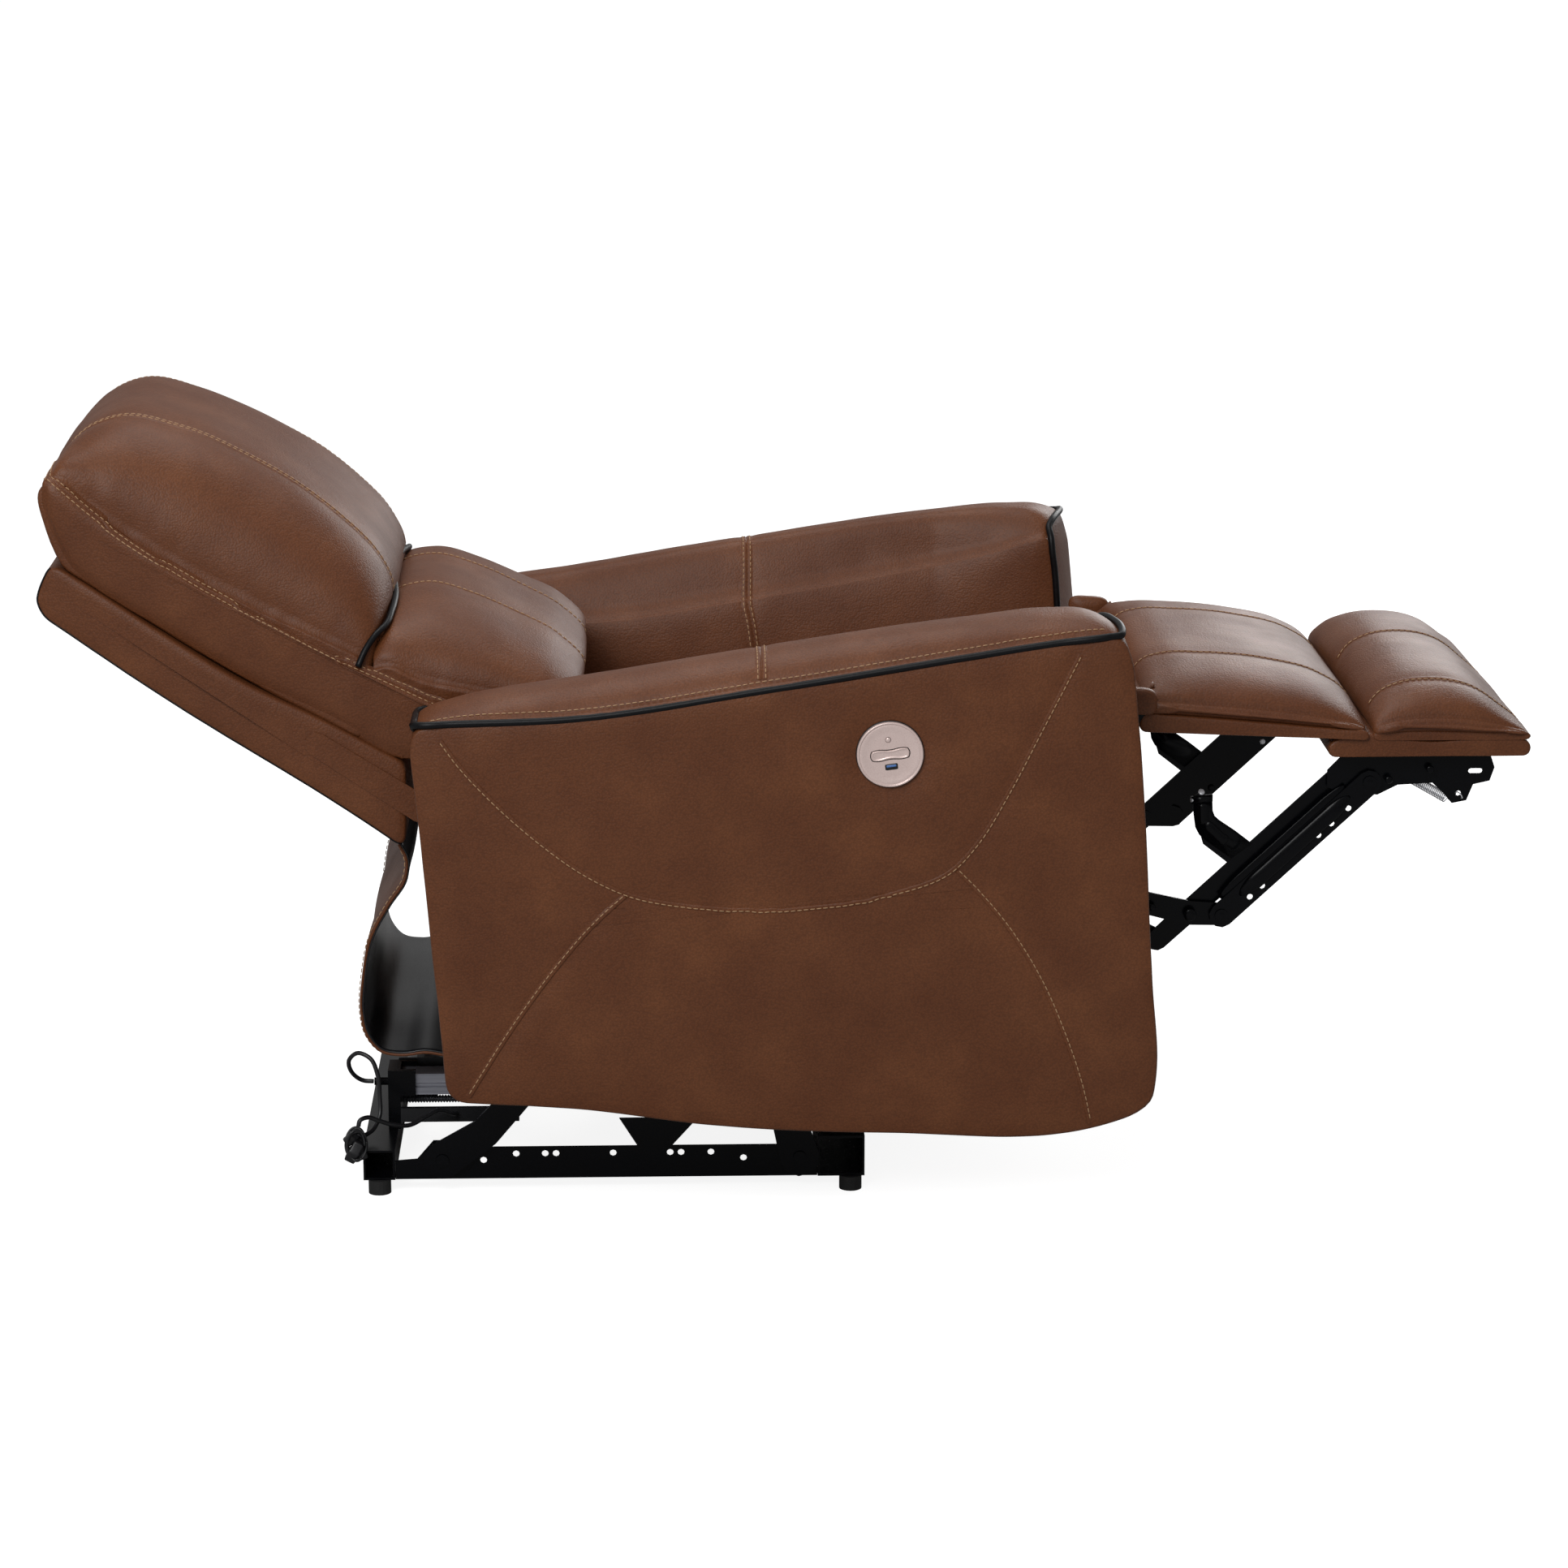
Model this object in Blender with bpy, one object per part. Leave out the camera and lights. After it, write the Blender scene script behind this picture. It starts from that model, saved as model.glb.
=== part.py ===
"""Power recliner chair on a fixed base, fully reclined at rest. Metres, +Z up, +X to the foot end,
+Y to the sitter's left. The origin is on the floor, midway along the chair."""

import math

import bmesh
import bpy
from mathutils import Matrix, Vector

# ---------------------------------------------------------------- driving dimensions
GAP = 0.0003  # between pieces that touch
PLATE = 0.003  # thickness of the footrest's link plates
FRAME_PLATE = 0.004  # thickness of the side plates and the base links
LAYER = 0.006  # from one link plate's middle to the next one's
PIN_R = 0.005
HEAD_R = 0.0075
PIN_PLAY = 0.0006  # radial play where a pin turns in its plate
OPEN_PLAY = 0.0023  # radial play at a pivot where a closed linkage is opened
COLLAR_PLAY = 0.0005
HEAD_THICK = 0.0015
ROUND = 12  # sides of a pin or a hole

TUBE_HALF = 0.2495  # half length of the base's cross tubes, which sets the chair's width
RAIL_INSET = 0.004  # from a cross tube's end to the middle of its rail
RAIL_TO_LINK = 0.009  # from a rail's middle to its link's, and from there to the seat's side plate
LINK_TO_SIDE_PLATE = 0.008
RAIL_TO_LEGREST = 0.0315  # from a rail's middle to the innermost of the footrest's link plates
HINGE_PLATE = 0.0025  # thickness of the plates on the back and the calf board, inside the side plates
ARM_CLEARANCE = 0.0035
ARM_WIDTH = 0.120
PAD_INSET = 0.006  # the footrest's boards stand out past its pads by this much
PILLOW_INSET = 0.0047  # and the back's shell past its pillows

Y_RAIL = TUBE_HALF - RAIL_INSET  # middle planes of the rails, the base's links and the side plates
Y_BASE_LINK = Y_RAIL + RAIL_TO_LINK
Y_SIDE_PLATE = Y_BASE_LINK + LINK_TO_SIDE_PLATE
Y_SUPPORT = Y_RAIL - RAIL_TO_LEGREST  # middle planes of the footrest's link plates, from the inside out
Y_INNER_BAR = Y_SUPPORT + LAYER
Y_LOWER_LINK = Y_INNER_BAR + LAYER
Y_OUTER_BAR = Y_LOWER_LINK + LAYER
Y_HINGE = Y_SIDE_PLATE - FRAME_PLATE / 2 - 0.001 - HINGE_PLATE / 2
SEAT_HALF = Y_SIDE_PLATE - FRAME_PLATE / 2 - 0.002
BOARD_HALF = Y_HINGE + HINGE_PLATE / 2
PAD_HALF = BOARD_HALF - PAD_INSET
ARM_INNER = Y_SIDE_PLATE + FRAME_PLATE / 2 + ARM_CLEARANCE
ARM_OUTER = ARM_INNER + ARM_WIDTH

# The base: rails between two cross tubes, on four feet.
FOOT_HEIGHT = 0.0157
FOOT_R = 0.0125
FOOT_INSET = 0.0065  # from a cross tube's end to the middle of its foot
TUBE_BOTTOM = FOOT_HEIGHT + GAP
TUBE_WALL = 0.0025
REAR_TUBE_X = (-0.4705, -0.4355)
REAR_TUBE_HEIGHT = 0.034
FRONT_TUBE_X = (0.031, 0.083)
FRONT_TUBE_HEIGHT = 0.046
RAIL_TOP = 0.052
RAIL_FLANGE = 0.018
RAIL_HOLE_R = 0.004
RAIL_HOLES_X = (-0.352, -0.302, -0.270, -0.258, -0.195, -0.132, -0.120, -0.087)
RAIL_LOW_HOLES_X = (-0.338, -0.051)
STOP_TOP = 0.084
STOP_FOOT_X = (-0.168, -0.130)
STOP_TOP_X = (-0.188, -0.101)

# The parallel links that carry the seat: equal in length and lean, so that the seat stays level.
REAR_PIVOT = Vector((-0.383, 0.040))
PIVOT_SPACING = 0.394
LINK_LENGTH = 0.150
LINK_LEAN = math.radians(50)
LINK_REACH = LINK_LENGTH * Vector((math.cos(LINK_LEAN), math.sin(LINK_LEAN)))
FRONT_PIVOT = REAR_PIVOT + Vector((PIVOT_SPACING, 0))
REAR_TOP = REAR_PIVOT + LINK_REACH
FRONT_TOP = FRONT_PIVOT + LINK_REACH
TORQUE_R = 0.011
TORQUE_WALL = 0.0025
FRONT_TORQUE_AT = FRONT_PIVOT + Vector((0.019, 0.065))
FRONT_TORQUE_R = 0.009

# The footrest's linkage. It closes at both ends of its travel and to about 1 mm between them.
CALF_HINGE = Vector((0.383, 0.5565))
CREASE = Vector((0.633, 0.4965))
LOWER_PIVOT = Vector((0.224, 0.4145))
SUPPORT_PIVOT = Vector((0.189, 0.3855))
LOWER_KNEE = Vector((0.389, 0.3205))
JOINT_INNER = Vector((0.4403, 0.3077))
JOINT_OUTER = Vector((0.4750, 0.3061))
TOP_INNER = Vector((0.6015, 0.4589))
TOP_OUTER = Vector((0.6343, 0.4553))
SUPPORT_REACH = 0.0476  # the inner bar runs on past its lower joint by this much
SUPPORT_JOINT = JOINT_INNER + SUPPORT_REACH * (JOINT_INNER - TOP_INNER).normalized()
LEGREST_TUBE_AT = Vector((0.314, 0.3835))
LEGREST_TUBE_R = 0.0085
BAR_HALF = 0.0135
LINK_HALF = 0.0105

# The back.
BACK_HINGE = Vector((-0.300, 0.400))
SHELL_BOTTOM = ((-0.417, 0.395), (-0.589, 0.508), (-0.800, 0.648))
SHELL_TOP = ((-0.415, 0.491), (-0.587, 0.580), (-0.757, 0.687))
SHELL_END = ((-0.808, 0.663), (-0.790, 0.705))
SHELL_HALF = Y_HINGE - HINGE_PLATE / 2 - GAP
PILLOW_HALF = SHELL_HALF - PILLOW_INSET
HEAD_HALF_TOP = 0.234
PIPING_R = 0.004

# The actuator lies beside the chair's middle, on the rear cross tube.
ACTUATOR_Y = -0.150
CHANNEL_X = (-0.432, -0.110)
CHANNEL_Z = (0.088, 0.112)
CHANNEL_HALF = 0.015
SCREW_R = 0.0045
SCREW_Z = 0.0785
NUT_X = -0.148
NUT_HALF = Vector((0.020, 0.018))
NUT_Z = (0.0665, 0.0872)
DRIVE_Y = -0.117
DRIVE_PIN_R = 0.0040
DRIVE_PLAY = 0.0038  # the seat moves up to 3.1 mm ahead of or behind the nut

# Switch on the right-hand arm.
SWITCH_AT = Vector((0.101, 0.527))
SWITCH_R = 0.035
SWITCH_THICK = 0.0045
ROCKER_LENGTH = 0.040
ROCKER_R = 0.008
ROCKER_WAIST = 0.0048
ROCKER_TILT = math.radians(8)
ROCKER_PLAY = 0.0008
SOCKET_AT = SWITCH_AT + Vector((0.001, -0.0185))
SOCKET_SIZE = Vector((0.0136, 0.0065))
SOCKET_WALL = 0.0012
SOCKET_DEPTH = 0.011
DOME_AT = SWITCH_AT + Vector((0.001, 0.016))
DOME_R = 0.0022

MATERIALS = {
    "leather": ((0.108, 0.043, 0.024), 0.45, 0.0),
    "piping": ((0.012, 0.011, 0.011), 0.45, 0.0),
    "painted_steel": ((0.010, 0.010, 0.012), 0.35, 0.6),
    "zinc_steel": ((0.55, 0.55, 0.56), 0.35, 1.0),
    "aluminium": ((0.42, 0.42, 0.46), 0.40, 1.0),
    "black_plastic": ((0.010, 0.010, 0.011), 0.40, 0.0),
    "rubber": ((0.015, 0.015, 0.015), 0.80, 0.0),
    "rose_metal": ((0.60, 0.42, 0.32), 0.30, 1.0),
    "lining": ((0.008, 0.008, 0.009), 0.85, 0.0),
    "board": ((0.42, 0.30, 0.18), 0.70, 0.0),
}

SIDES = {"left": 1, "right": -1}
made_materials = {}
bodies = {}


# ---------------------------------------------------------------- helpers
def clear_scene():
    for obj in list(bpy.data.objects):
        bpy.data.objects.remove(obj, do_unlink=True)


def collection_of(name):
    made = bpy.data.collections.new(name)
    bpy.context.scene.collection.children.link(made)
    return made


def material_of(name):
    if name not in made_materials:
        colour, roughness, metallic = MATERIALS[name]
        made = bpy.data.materials.new(name)
        made.use_nodes = True
        shader = made.node_tree.nodes["Principled BSDF"]
        shader.inputs["Base Color"].default_value = (*colour, 1)
        shader.inputs["Roughness"].default_value = roughness
        shader.inputs["Metallic"].default_value = metallic
        made_materials[name] = made
    return made_materials[name]


def body(name, pivot=(0, 0)):
    """An empty on the body's joint axis. Its pieces are parented to it."""
    empty = bpy.data.objects.new("body_" + name, None)
    chair.objects.link(empty)
    empty.location = (pivot[0], 0, pivot[1])
    bodies[name] = empty


def place(obj, body_name, material, smooth=False):
    chair.objects.link(obj)
    parent = bodies[body_name]
    obj.parent = parent
    obj.matrix_parent_inverse = Matrix.Translation(parent.location).inverted()
    obj.data.materials.append(material_of(material))
    if smooth:
        obj.data.shade_smooth()
        obj.data.set_sharp_from_angle(angle=math.radians(35))
    return obj


def object_from(name, bm):
    bmesh.ops.recalc_face_normals(bm, faces=bm.faces)
    mesh = bpy.data.meshes.new(name)
    bm.to_mesh(mesh)
    bm.free()
    return bpy.data.objects.new(name, mesh)


def evaluated_mesh(obj):
    bpy.context.scene.collection.objects.link(obj)
    bpy.context.view_layer.update()
    graph = bpy.context.evaluated_depsgraph_get()
    mesh = bpy.data.meshes.new_from_object(obj.evaluated_get(graph))
    bpy.context.scene.collection.objects.unlink(obj)
    return mesh


def combine(obj, tools, operation="UNION"):
    """Applies an exact Boolean with each tool in turn and removes the tools."""
    for tool in tools:
        bpy.context.scene.collection.objects.link(tool)
        step = obj.modifiers.new("join", "BOOLEAN")
        step.operation = operation
        step.object = tool
        mesh = evaluated_mesh(obj)
        obj.modifiers.clear()
        obj.data = mesh
        bpy.data.objects.remove(tool, do_unlink=True)
    return obj


PLANES = {
    "xz": Matrix(((1, 0, 0, 0), (0, 0, -1, 0), (0, 1, 0, 0), (0, 0, 0, 1))),
    "yz": Matrix(((0, 0, 1, 0), (1, 0, 0, 0), (0, 1, 0, 0), (0, 0, 0, 1))),
    "xy": Matrix.Identity(4),
}


def prism(name, outline, holes=(), plane="xz", middle=0.0, depth=PLATE):
    """A flat outline with holes, drawn in a plane and thickened to depth about its middle."""
    curve = bpy.data.curves.new(name, "CURVE")
    curve.dimensions = "2D"
    curve.fill_mode = "BOTH"
    curve.extrude = depth / 2
    for loop in (outline, *holes):
        spline = curve.splines.new("POLY")
        spline.points.add(len(loop) - 1)
        for point, (u, v) in zip(spline.points, loop):
            point.co = (u, v, 0, 1)
        spline.use_cyclic_u = True
    drawn = bpy.data.objects.new(name, curve)
    mesh = evaluated_mesh(drawn)
    bpy.data.objects.remove(drawn, do_unlink=True)
    bm = bmesh.new()
    bm.from_mesh(mesh)
    bmesh.ops.remove_doubles(bm, verts=bm.verts, dist=1e-6)
    normal = {"xz": Vector((0, 1, 0)), "yz": Vector((1, 0, 0)), "xy": Vector((0, 0, 1))}[plane]
    bm.transform(Matrix.Translation(middle * normal) @ PLANES[plane])
    bpy.data.meshes.remove(mesh)
    return object_from(name, bm)


def circle(centre, radius, sides=ROUND):
    turns = [2 * math.pi * i / sides for i in range(sides)]
    return [(centre[0] + radius * math.cos(t), centre[1] + radius * math.sin(t)) for t in turns]


def rectangle(u_range, v_range):
    (u0, u1), (v0, v1) = u_range, v_range
    return [(u0, v0), (u1, v0), (u1, v1), (u0, v1)]


def strip(stations, steps=5):
    """Outline of a bar along (u, v, half width) stations, with round ends."""
    points = [Vector(s[:2]) for s in stations]
    halves = [s[2] for s in stations]
    sides = [[], []]
    for i, point in enumerate(points):
        before = (point - points[i - 1]).normalized() if i else None
        after = (points[i + 1] - point).normalized() if i < len(points) - 1 else None
        along = ((before or after) + (after or before)).normalized()
        stretch = 1 / max(0.5, along.dot(after or before))
        across = Vector((-along.y, along.x)) * halves[i] * stretch
        if 0 < i < len(points) - 1:
            sides[0].append(point + across)
            sides[1].append(point - across)
    first, last = (points[1] - points[0]).normalized(), (points[-1] - points[-2]).normalized()

    def cap(centre, along, radius):
        across = Vector((-along.y, along.x))
        turns = [math.pi * i / steps for i in range(steps + 1)]
        return [centre + radius * (math.cos(t) * across + math.sin(t) * along) for t in turns]

    far = cap(points[-1], last, halves[-1])
    near = cap(points[0], -first, halves[0])
    return [tuple(p) for p in sides[0] + far + sides[1][::-1] + near]


def cylinder_y(centre, radius, y_range, sides=ROUND):
    y0, y1 = y_range
    bm = bmesh.new()
    turn = Matrix.Rotation(math.pi / 2, 4, "X")
    move = Matrix.Translation((centre[0], (y0 + y1) / 2, centre[1]))
    bmesh.ops.create_cone(
        bm, cap_ends=True, segments=sides, radius1=radius, radius2=radius, depth=abs(y1 - y0), matrix=move @ turn
    )
    return object_from("cylinder", bm)


def cylinder(name, start, end, radius, sides=ROUND):
    start, end = Vector(start), Vector(end)
    bm = bmesh.new()
    turn = (end - start).to_track_quat("Z", "Y").to_matrix().to_4x4()
    move = Matrix.Translation((start + end) / 2)
    bmesh.ops.create_cone(
        bm,
        cap_ends=True,
        segments=sides,
        radius1=radius,
        radius2=radius,
        depth=(end - start).length,
        matrix=move @ turn,
    )
    return object_from(name, bm)


def box(name, x_range, y_range, z_range):
    low = Vector((min(x_range), min(y_range), min(z_range)))
    high = Vector((max(x_range), max(y_range), max(z_range)))
    bm = bmesh.new()
    bmesh.ops.create_cube(bm, size=1, matrix=Matrix.Translation((low + high) / 2) @ Matrix.Diagonal((*(high - low), 1)))
    return object_from(name, bm)


def loft(name, rings):
    """A closed skin through rings of equal point counts, with a cap at each end."""
    bm = bmesh.new()
    rows = [[bm.verts.new(p) for p in ring] for ring in rings]
    for one, two in zip(rows, rows[1:]):
        for i in range(len(one)):
            j = (i + 1) % len(one)
            bm.faces.new((one[i], one[j], two[j], two[i]))
    bm.faces.new(rows[0])
    bm.faces.new(rows[-1])
    return object_from(name, bm)


PAD_SHARES = (-1, -0.94, -0.80, -0.52, 0, 0.52, 0.80, 0.94, 1)


def pad_rise(share):
    return (1 - abs(share) ** 4) ** 0.5


def pad(name, edge, crest, half, half_end=None):
    """A cushion across the chair. Its section goes from edge, at both sides, to crest in the middle."""
    rings = []
    for share in PAD_SHARES:
        rise = pad_rise(share)
        ring = []
        for i, ((x0, z0), (x1, z1)) in enumerate(zip(edge, crest)):
            x = x0 + (x1 - x0) * rise
            width = half if half_end is None else half + (half_end - half) * (edge[0][0] - x0) / SPAN_OF_HEAD
            ring.append((x, share * width, z0 + (z1 - z0) * rise))
        rings.append(ring)
    return loft(name, rings)


def tube(name, points, radius, resolution=2):
    """A round tube on a smooth curve through the points."""
    curve = bpy.data.curves.new(name, "CURVE")
    curve.dimensions = "3D"
    curve.bevel_depth = radius
    curve.bevel_resolution = resolution
    curve.use_fill_caps = True
    spline = curve.splines.new("POLY")
    fine = smooth_path(points, 2.5 * 2 * radius)
    spline.points.add(len(fine) - 1)
    for point, place_at in zip(spline.points, fine):
        point.co = (*place_at, 1)
    return bpy.data.objects.new(name, curve)


def smooth_path(points, spacing):
    """Points at about this spacing on the smooth curve through the given ones."""
    spots = [Vector(p) for p in points]
    spots = [2 * spots[0] - spots[1], *spots, 2 * spots[-1] - spots[-2]]
    fine = []
    for a, b, c, d in zip(spots, spots[1:], spots[2:], spots[3:]):
        count = max(1, round((c - b).length / spacing))
        for i in range(count):
            t = i / count
            fine.append(0.5 * (2 * b + (c - a) * t + (2 * a - 5 * b + 4 * c - d) * t**2 + (3 * b - a - 3 * c + d) * t**3))
    return [*fine, spots[-2]]


def tube_mesh(obj):
    """The tube as one welded mesh, so that its caps close it."""
    name = obj.name
    mesh = evaluated_mesh(obj)
    bpy.data.objects.remove(obj, do_unlink=True)
    bm = bmesh.new()
    bm.from_mesh(mesh)
    bmesh.ops.remove_doubles(bm, verts=bm.verts, dist=1e-6)
    return object_from(name, bm)


def rivet(centre, side, root, plate_middle, plate_thick):
    """A shoulder pin from its owner's middle plane out through another plate, with a collar and a head."""
    way = 1 if plate_middle > root else -1
    near = plate_middle - way * plate_thick / 2
    far = plate_middle + way * plate_thick / 2
    tip = far + way * (COLLAR_PLAY + HEAD_THICK)
    return [
        cylinder_y(centre, PIN_R, (side * root, side * (tip - way * HEAD_THICK / 2))),
        cylinder_y(centre, HEAD_R, (side * root, side * (near - way * COLLAR_PLAY))),
        cylinder_y(centre, HEAD_R, (side * (far + way * COLLAR_PLAY), side * tip)),
    ]


def pin_hole(centre):
    return circle(centre, PIN_R + PIN_PLAY)


def open_hole(centre):
    return circle(centre, PIN_R + OPEN_PLAY)


# ---------------------------------------------------------------- base
def base_rail(name, side):
    rear, front = REAR_TUBE_X[1] + GAP, FRONT_TUBE_X[0] - GAP
    lobe = REAR_PIVOT.x
    outline = [
        (rear, TUBE_BOTTOM),
        (front, TUBE_BOTTOM),
        (front, RAIL_TOP),
        (STOP_FOOT_X[1], RAIL_TOP),
        (STOP_TOP_X[1], STOP_TOP),
        (STOP_TOP_X[0], STOP_TOP),
        (STOP_FOOT_X[0], RAIL_TOP),
        (lobe + 0.024, RAIL_TOP),
        (lobe + 0.012, RAIL_TOP + 0.008),
        (lobe - 0.010, RAIL_TOP + 0.008),
        (lobe - 0.028, RAIL_TOP - 0.013),
        (rear, RAIL_TOP - 0.015),
    ]
    high = (TUBE_BOTTOM + RAIL_TOP) / 2 + 0.010
    holes = [circle((x, high), RAIL_HOLE_R, 8) for x in RAIL_HOLES_X]
    holes += [circle((x, high - 0.007), RAIL_HOLE_R, 8) for x in RAIL_LOW_HOLES_X]
    rail = prism(name, outline, holes, middle=side * Y_RAIL)
    flange = box(
        "flange", (rear, front), (side * (Y_RAIL - RAIL_FLANGE), side * Y_RAIL), (TUBE_BOTTOM, TUBE_BOTTOM + PLATE)
    )
    pins = rivet(REAR_PIVOT, side, Y_RAIL, Y_BASE_LINK, FRAME_PLATE)
    pins += rivet(FRONT_PIVOT, side, Y_RAIL, Y_BASE_LINK, FRAME_PLATE)
    place(combine(rail, [flange, *pins]), "base", "painted_steel")


def cross_tube(name, x_range, height):
    inner_x = (x_range[0] + TUBE_WALL, x_range[1] - TUBE_WALL)
    outer = rectangle(x_range, (TUBE_BOTTOM, TUBE_BOTTOM + height))
    inner = rectangle(inner_x, (TUBE_BOTTOM + TUBE_WALL, TUBE_BOTTOM + height - TUBE_WALL))
    place(prism(name, outer, [inner], depth=2 * TUBE_HALF), "base", "painted_steel")


def foot(name, x, side):
    centre = (x, side * (TUBE_HALF - FOOT_INSET))
    place(cylinder(name, (*centre, 0), (*centre, FOOT_HEIGHT), FOOT_R, 20), "base", "rubber", smooth=True)


def make_base():
    for label, side in SIDES.items():
        base_rail("base_rail_" + label, side)
    cross_tube("rear_cross_tube", REAR_TUBE_X, REAR_TUBE_HEIGHT)
    cross_tube("front_cross_tube", FRONT_TUBE_X, FRONT_TUBE_HEIGHT)
    rear_x, front_x = sum(REAR_TUBE_X) / 2, FRONT_TUBE_X[1] - FOOT_R - 0.003
    for label, side in SIDES.items():
        foot("rear_foot_" + label, rear_x, side)
        foot("front_foot_" + label, front_x, side)


# ---------------------------------------------------------------- seat links
def make_base_links():
    for label, side in SIDES.items():
        path = [
            (*REAR_PIVOT, 0.021),
            (*(REAR_PIVOT + Vector((0.048, 0.032))), 0.017),
            (*(REAR_TOP - Vector((0.013, 0.043))), 0.0155),
            (*REAR_TOP, 0.014),
        ]
        link = prism("rear_link_" + label, strip(path), [pin_hole(REAR_PIVOT)], "xz", side * Y_BASE_LINK, FRAME_PLATE)
        pins = rivet(REAR_TOP, side, Y_BASE_LINK, Y_SIDE_PLATE, FRAME_PLATE)
        place(combine(link, pins), "rear_links", "painted_steel")
        path = [
            (*FRONT_PIVOT, 0.022),
            (*(FRONT_PIVOT + Vector((-0.011, 0.042))), 0.019),
            (*(FRONT_TOP - Vector((0.057, 0.030))), 0.015),
            (*FRONT_TOP, 0.014),
        ]
        link = prism("front_link_" + label, strip(path), [pin_hole(FRONT_PIVOT)], "xz", side * Y_BASE_LINK, FRAME_PLATE)
        pins = rivet(FRONT_TOP, side, Y_BASE_LINK, Y_SIDE_PLATE, FRAME_PLATE)
        place(combine(link, pins), "front_links", "painted_steel")
    torque_tube("rear_torque_tube", "rear_links", REAR_TOP, TORQUE_R, Y_BASE_LINK - FRAME_PLATE / 2)
    torque_tube("front_torque_tube", "front_links", FRONT_TORQUE_AT, FRONT_TORQUE_R, Y_BASE_LINK - FRAME_PLATE / 2)


def torque_tube(name, body_name, centre, radius, half):
    bore = circle(centre, radius - TORQUE_WALL, ROUND)
    tube_solid = prism(name, circle(centre, radius, ROUND), [bore], depth=2 * (half - GAP))
    place(tube_solid, body_name, "painted_steel", smooth=True)


# ---------------------------------------------------------------- seat frame
def side_plate(name, side):
    rear, front = REAR_TOP.x - 0.040, FRONT_RAIL_X[1] + 0.010
    ear = CALF_HINGE
    outline = [
        (rear + 0.008, REAR_TOP.y - 0.020),
        (FRONT_TOP.x + 0.035, FRONT_TOP.y - 0.020),
        (FRONT_TOP.x + 0.070, FRONT_TOP.y + 0.040),
        (front, LOWER_PIVOT.y - 0.035),
        (front + 0.006, FRONT_RAIL_Z[1] - 0.010),
        (ear.x - 0.006, ear.y - 0.026),
        (ear.x + 0.007, ear.y - 0.007),
        (ear.x + 0.009, ear.y + 0.002),
        (ear.x + 0.003, ear.y + 0.009),
        (ear.x - 0.006, ear.y + 0.008),
        (ear.x - 0.040, ear.y - 0.036),
        (LOWER_PIVOT.x - 0.020, FRONT_RAIL_Z[1] - 0.006),
        (BACK_HINGE.x + 0.060, BACK_HINGE.y + 0.014),
        (BACK_HINGE.x - 0.008, BACK_HINGE.y + 0.016),
        (BACK_HINGE.x - 0.022, BACK_HINGE.y - 0.004),
        (rear, REAR_TOP.y + 0.060),
    ]
    lightening = [circle((x, 0.270), 0.045, 16) for x in (-0.180, -0.030)]
    holes = [pin_hole(REAR_TOP), open_hole(FRONT_TOP), *lightening]
    plate = prism(name, outline, holes, "xz", side * Y_SIDE_PLATE, FRAME_PLATE)
    pins = rivet(LOWER_PIVOT, side, Y_SIDE_PLATE, Y_LOWER_LINK, PLATE)
    pins += rivet(SUPPORT_PIVOT, side, Y_SIDE_PLATE, Y_SUPPORT, PLATE)
    pins += rivet(BACK_HINGE, side, Y_SIDE_PLATE, Y_HINGE, HINGE_PLATE)
    pins += rivet(CALF_HINGE, side, Y_SIDE_PLATE, Y_HINGE, HINGE_PLATE)
    for x, z in ARM_BOLTS:
        pins.append(cylinder_y((x, z), 0.009, (side * Y_SIDE_PLATE, side * (ARM_INNER - GAP)), 8))
    place(combine(plate, pins), "carriage", "painted_steel")


ARM_BOLTS = ((-0.270, 0.230), (0.090, 0.230), (-0.200, 0.370), (0.260, 0.400))
FRONT_RAIL_X = (0.262, 0.300)
FRONT_RAIL_Z = (0.427, 0.457)
REAR_RAIL_X = (-0.270, -0.235)
REAR_RAIL_Z = (0.360, 0.390)
CUSHION_FRONT = 0.328
CUSHION_REAR = -0.255
SEAT_EDGE = (0.450, 0.470, 0.500, 0.522, 0.508)  # heights of the seat's top at its sides, rear to front
SEAT_CREST = (0.458, 0.478, 0.514, 0.545, 0.530)


def rail_half():
    return Y_SIDE_PLATE - FRAME_PLATE / 2 - GAP


def drive_arm():
    """The plate that the nut block's pin pushes, with an upright slot for the seat's rise and fall."""
    rear_x = sum(REAR_RAIL_X) / 2
    path = [(rear_x, sum(REAR_RAIL_Z) / 2, 0.014), (NUT_X, 0.260, 0.013), (NUT_X, SCREW_Z - 0.036, 0.012)]
    rise = LINK_LENGTH * (1 - math.sin(LINK_LEAN))
    half = DRIVE_PIN_R + DRIVE_PLAY
    slot = rectangle((NUT_X - half, NUT_X + half), (SCREW_Z - rise - half, SCREW_Z + half))
    return prism("drive", strip(path), [slot], "xz", DRIVE_Y, FRAME_PLATE)


def make_seat_frame():
    for label, side in SIDES.items():
        side_plate("seat_side_plate_" + label, side)
    half = rail_half()
    place(box("seat_front_rail", FRONT_RAIL_X, (-half, half), FRONT_RAIL_Z), "carriage", "painted_steel")
    rear = box("seat_rear_rail", REAR_RAIL_X, (-half, half), REAR_RAIL_Z)
    place(combine(rear, [drive_arm()]), "carriage", "painted_steel")


def make_seat_cushion():
    xs = [CUSHION_REAR, -0.080, 0.140, 0.285, CUSHION_FRONT]
    under = [
        (CUSHION_FRONT, FRONT_RAIL_Z[1] + 0.001),
        (FRONT_RAIL_X[0], FRONT_RAIL_Z[1] + 0.001),
        (CUSHION_REAR, REAR_RAIL_Z[1] + 0.001),
    ]
    edge = list(zip(xs, SEAT_EDGE)) + under
    crest = list(zip(xs, SEAT_CREST)) + under
    place(pad("seat_cushion", edge, crest, SEAT_HALF), "carriage", "leather", smooth=True)


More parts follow.
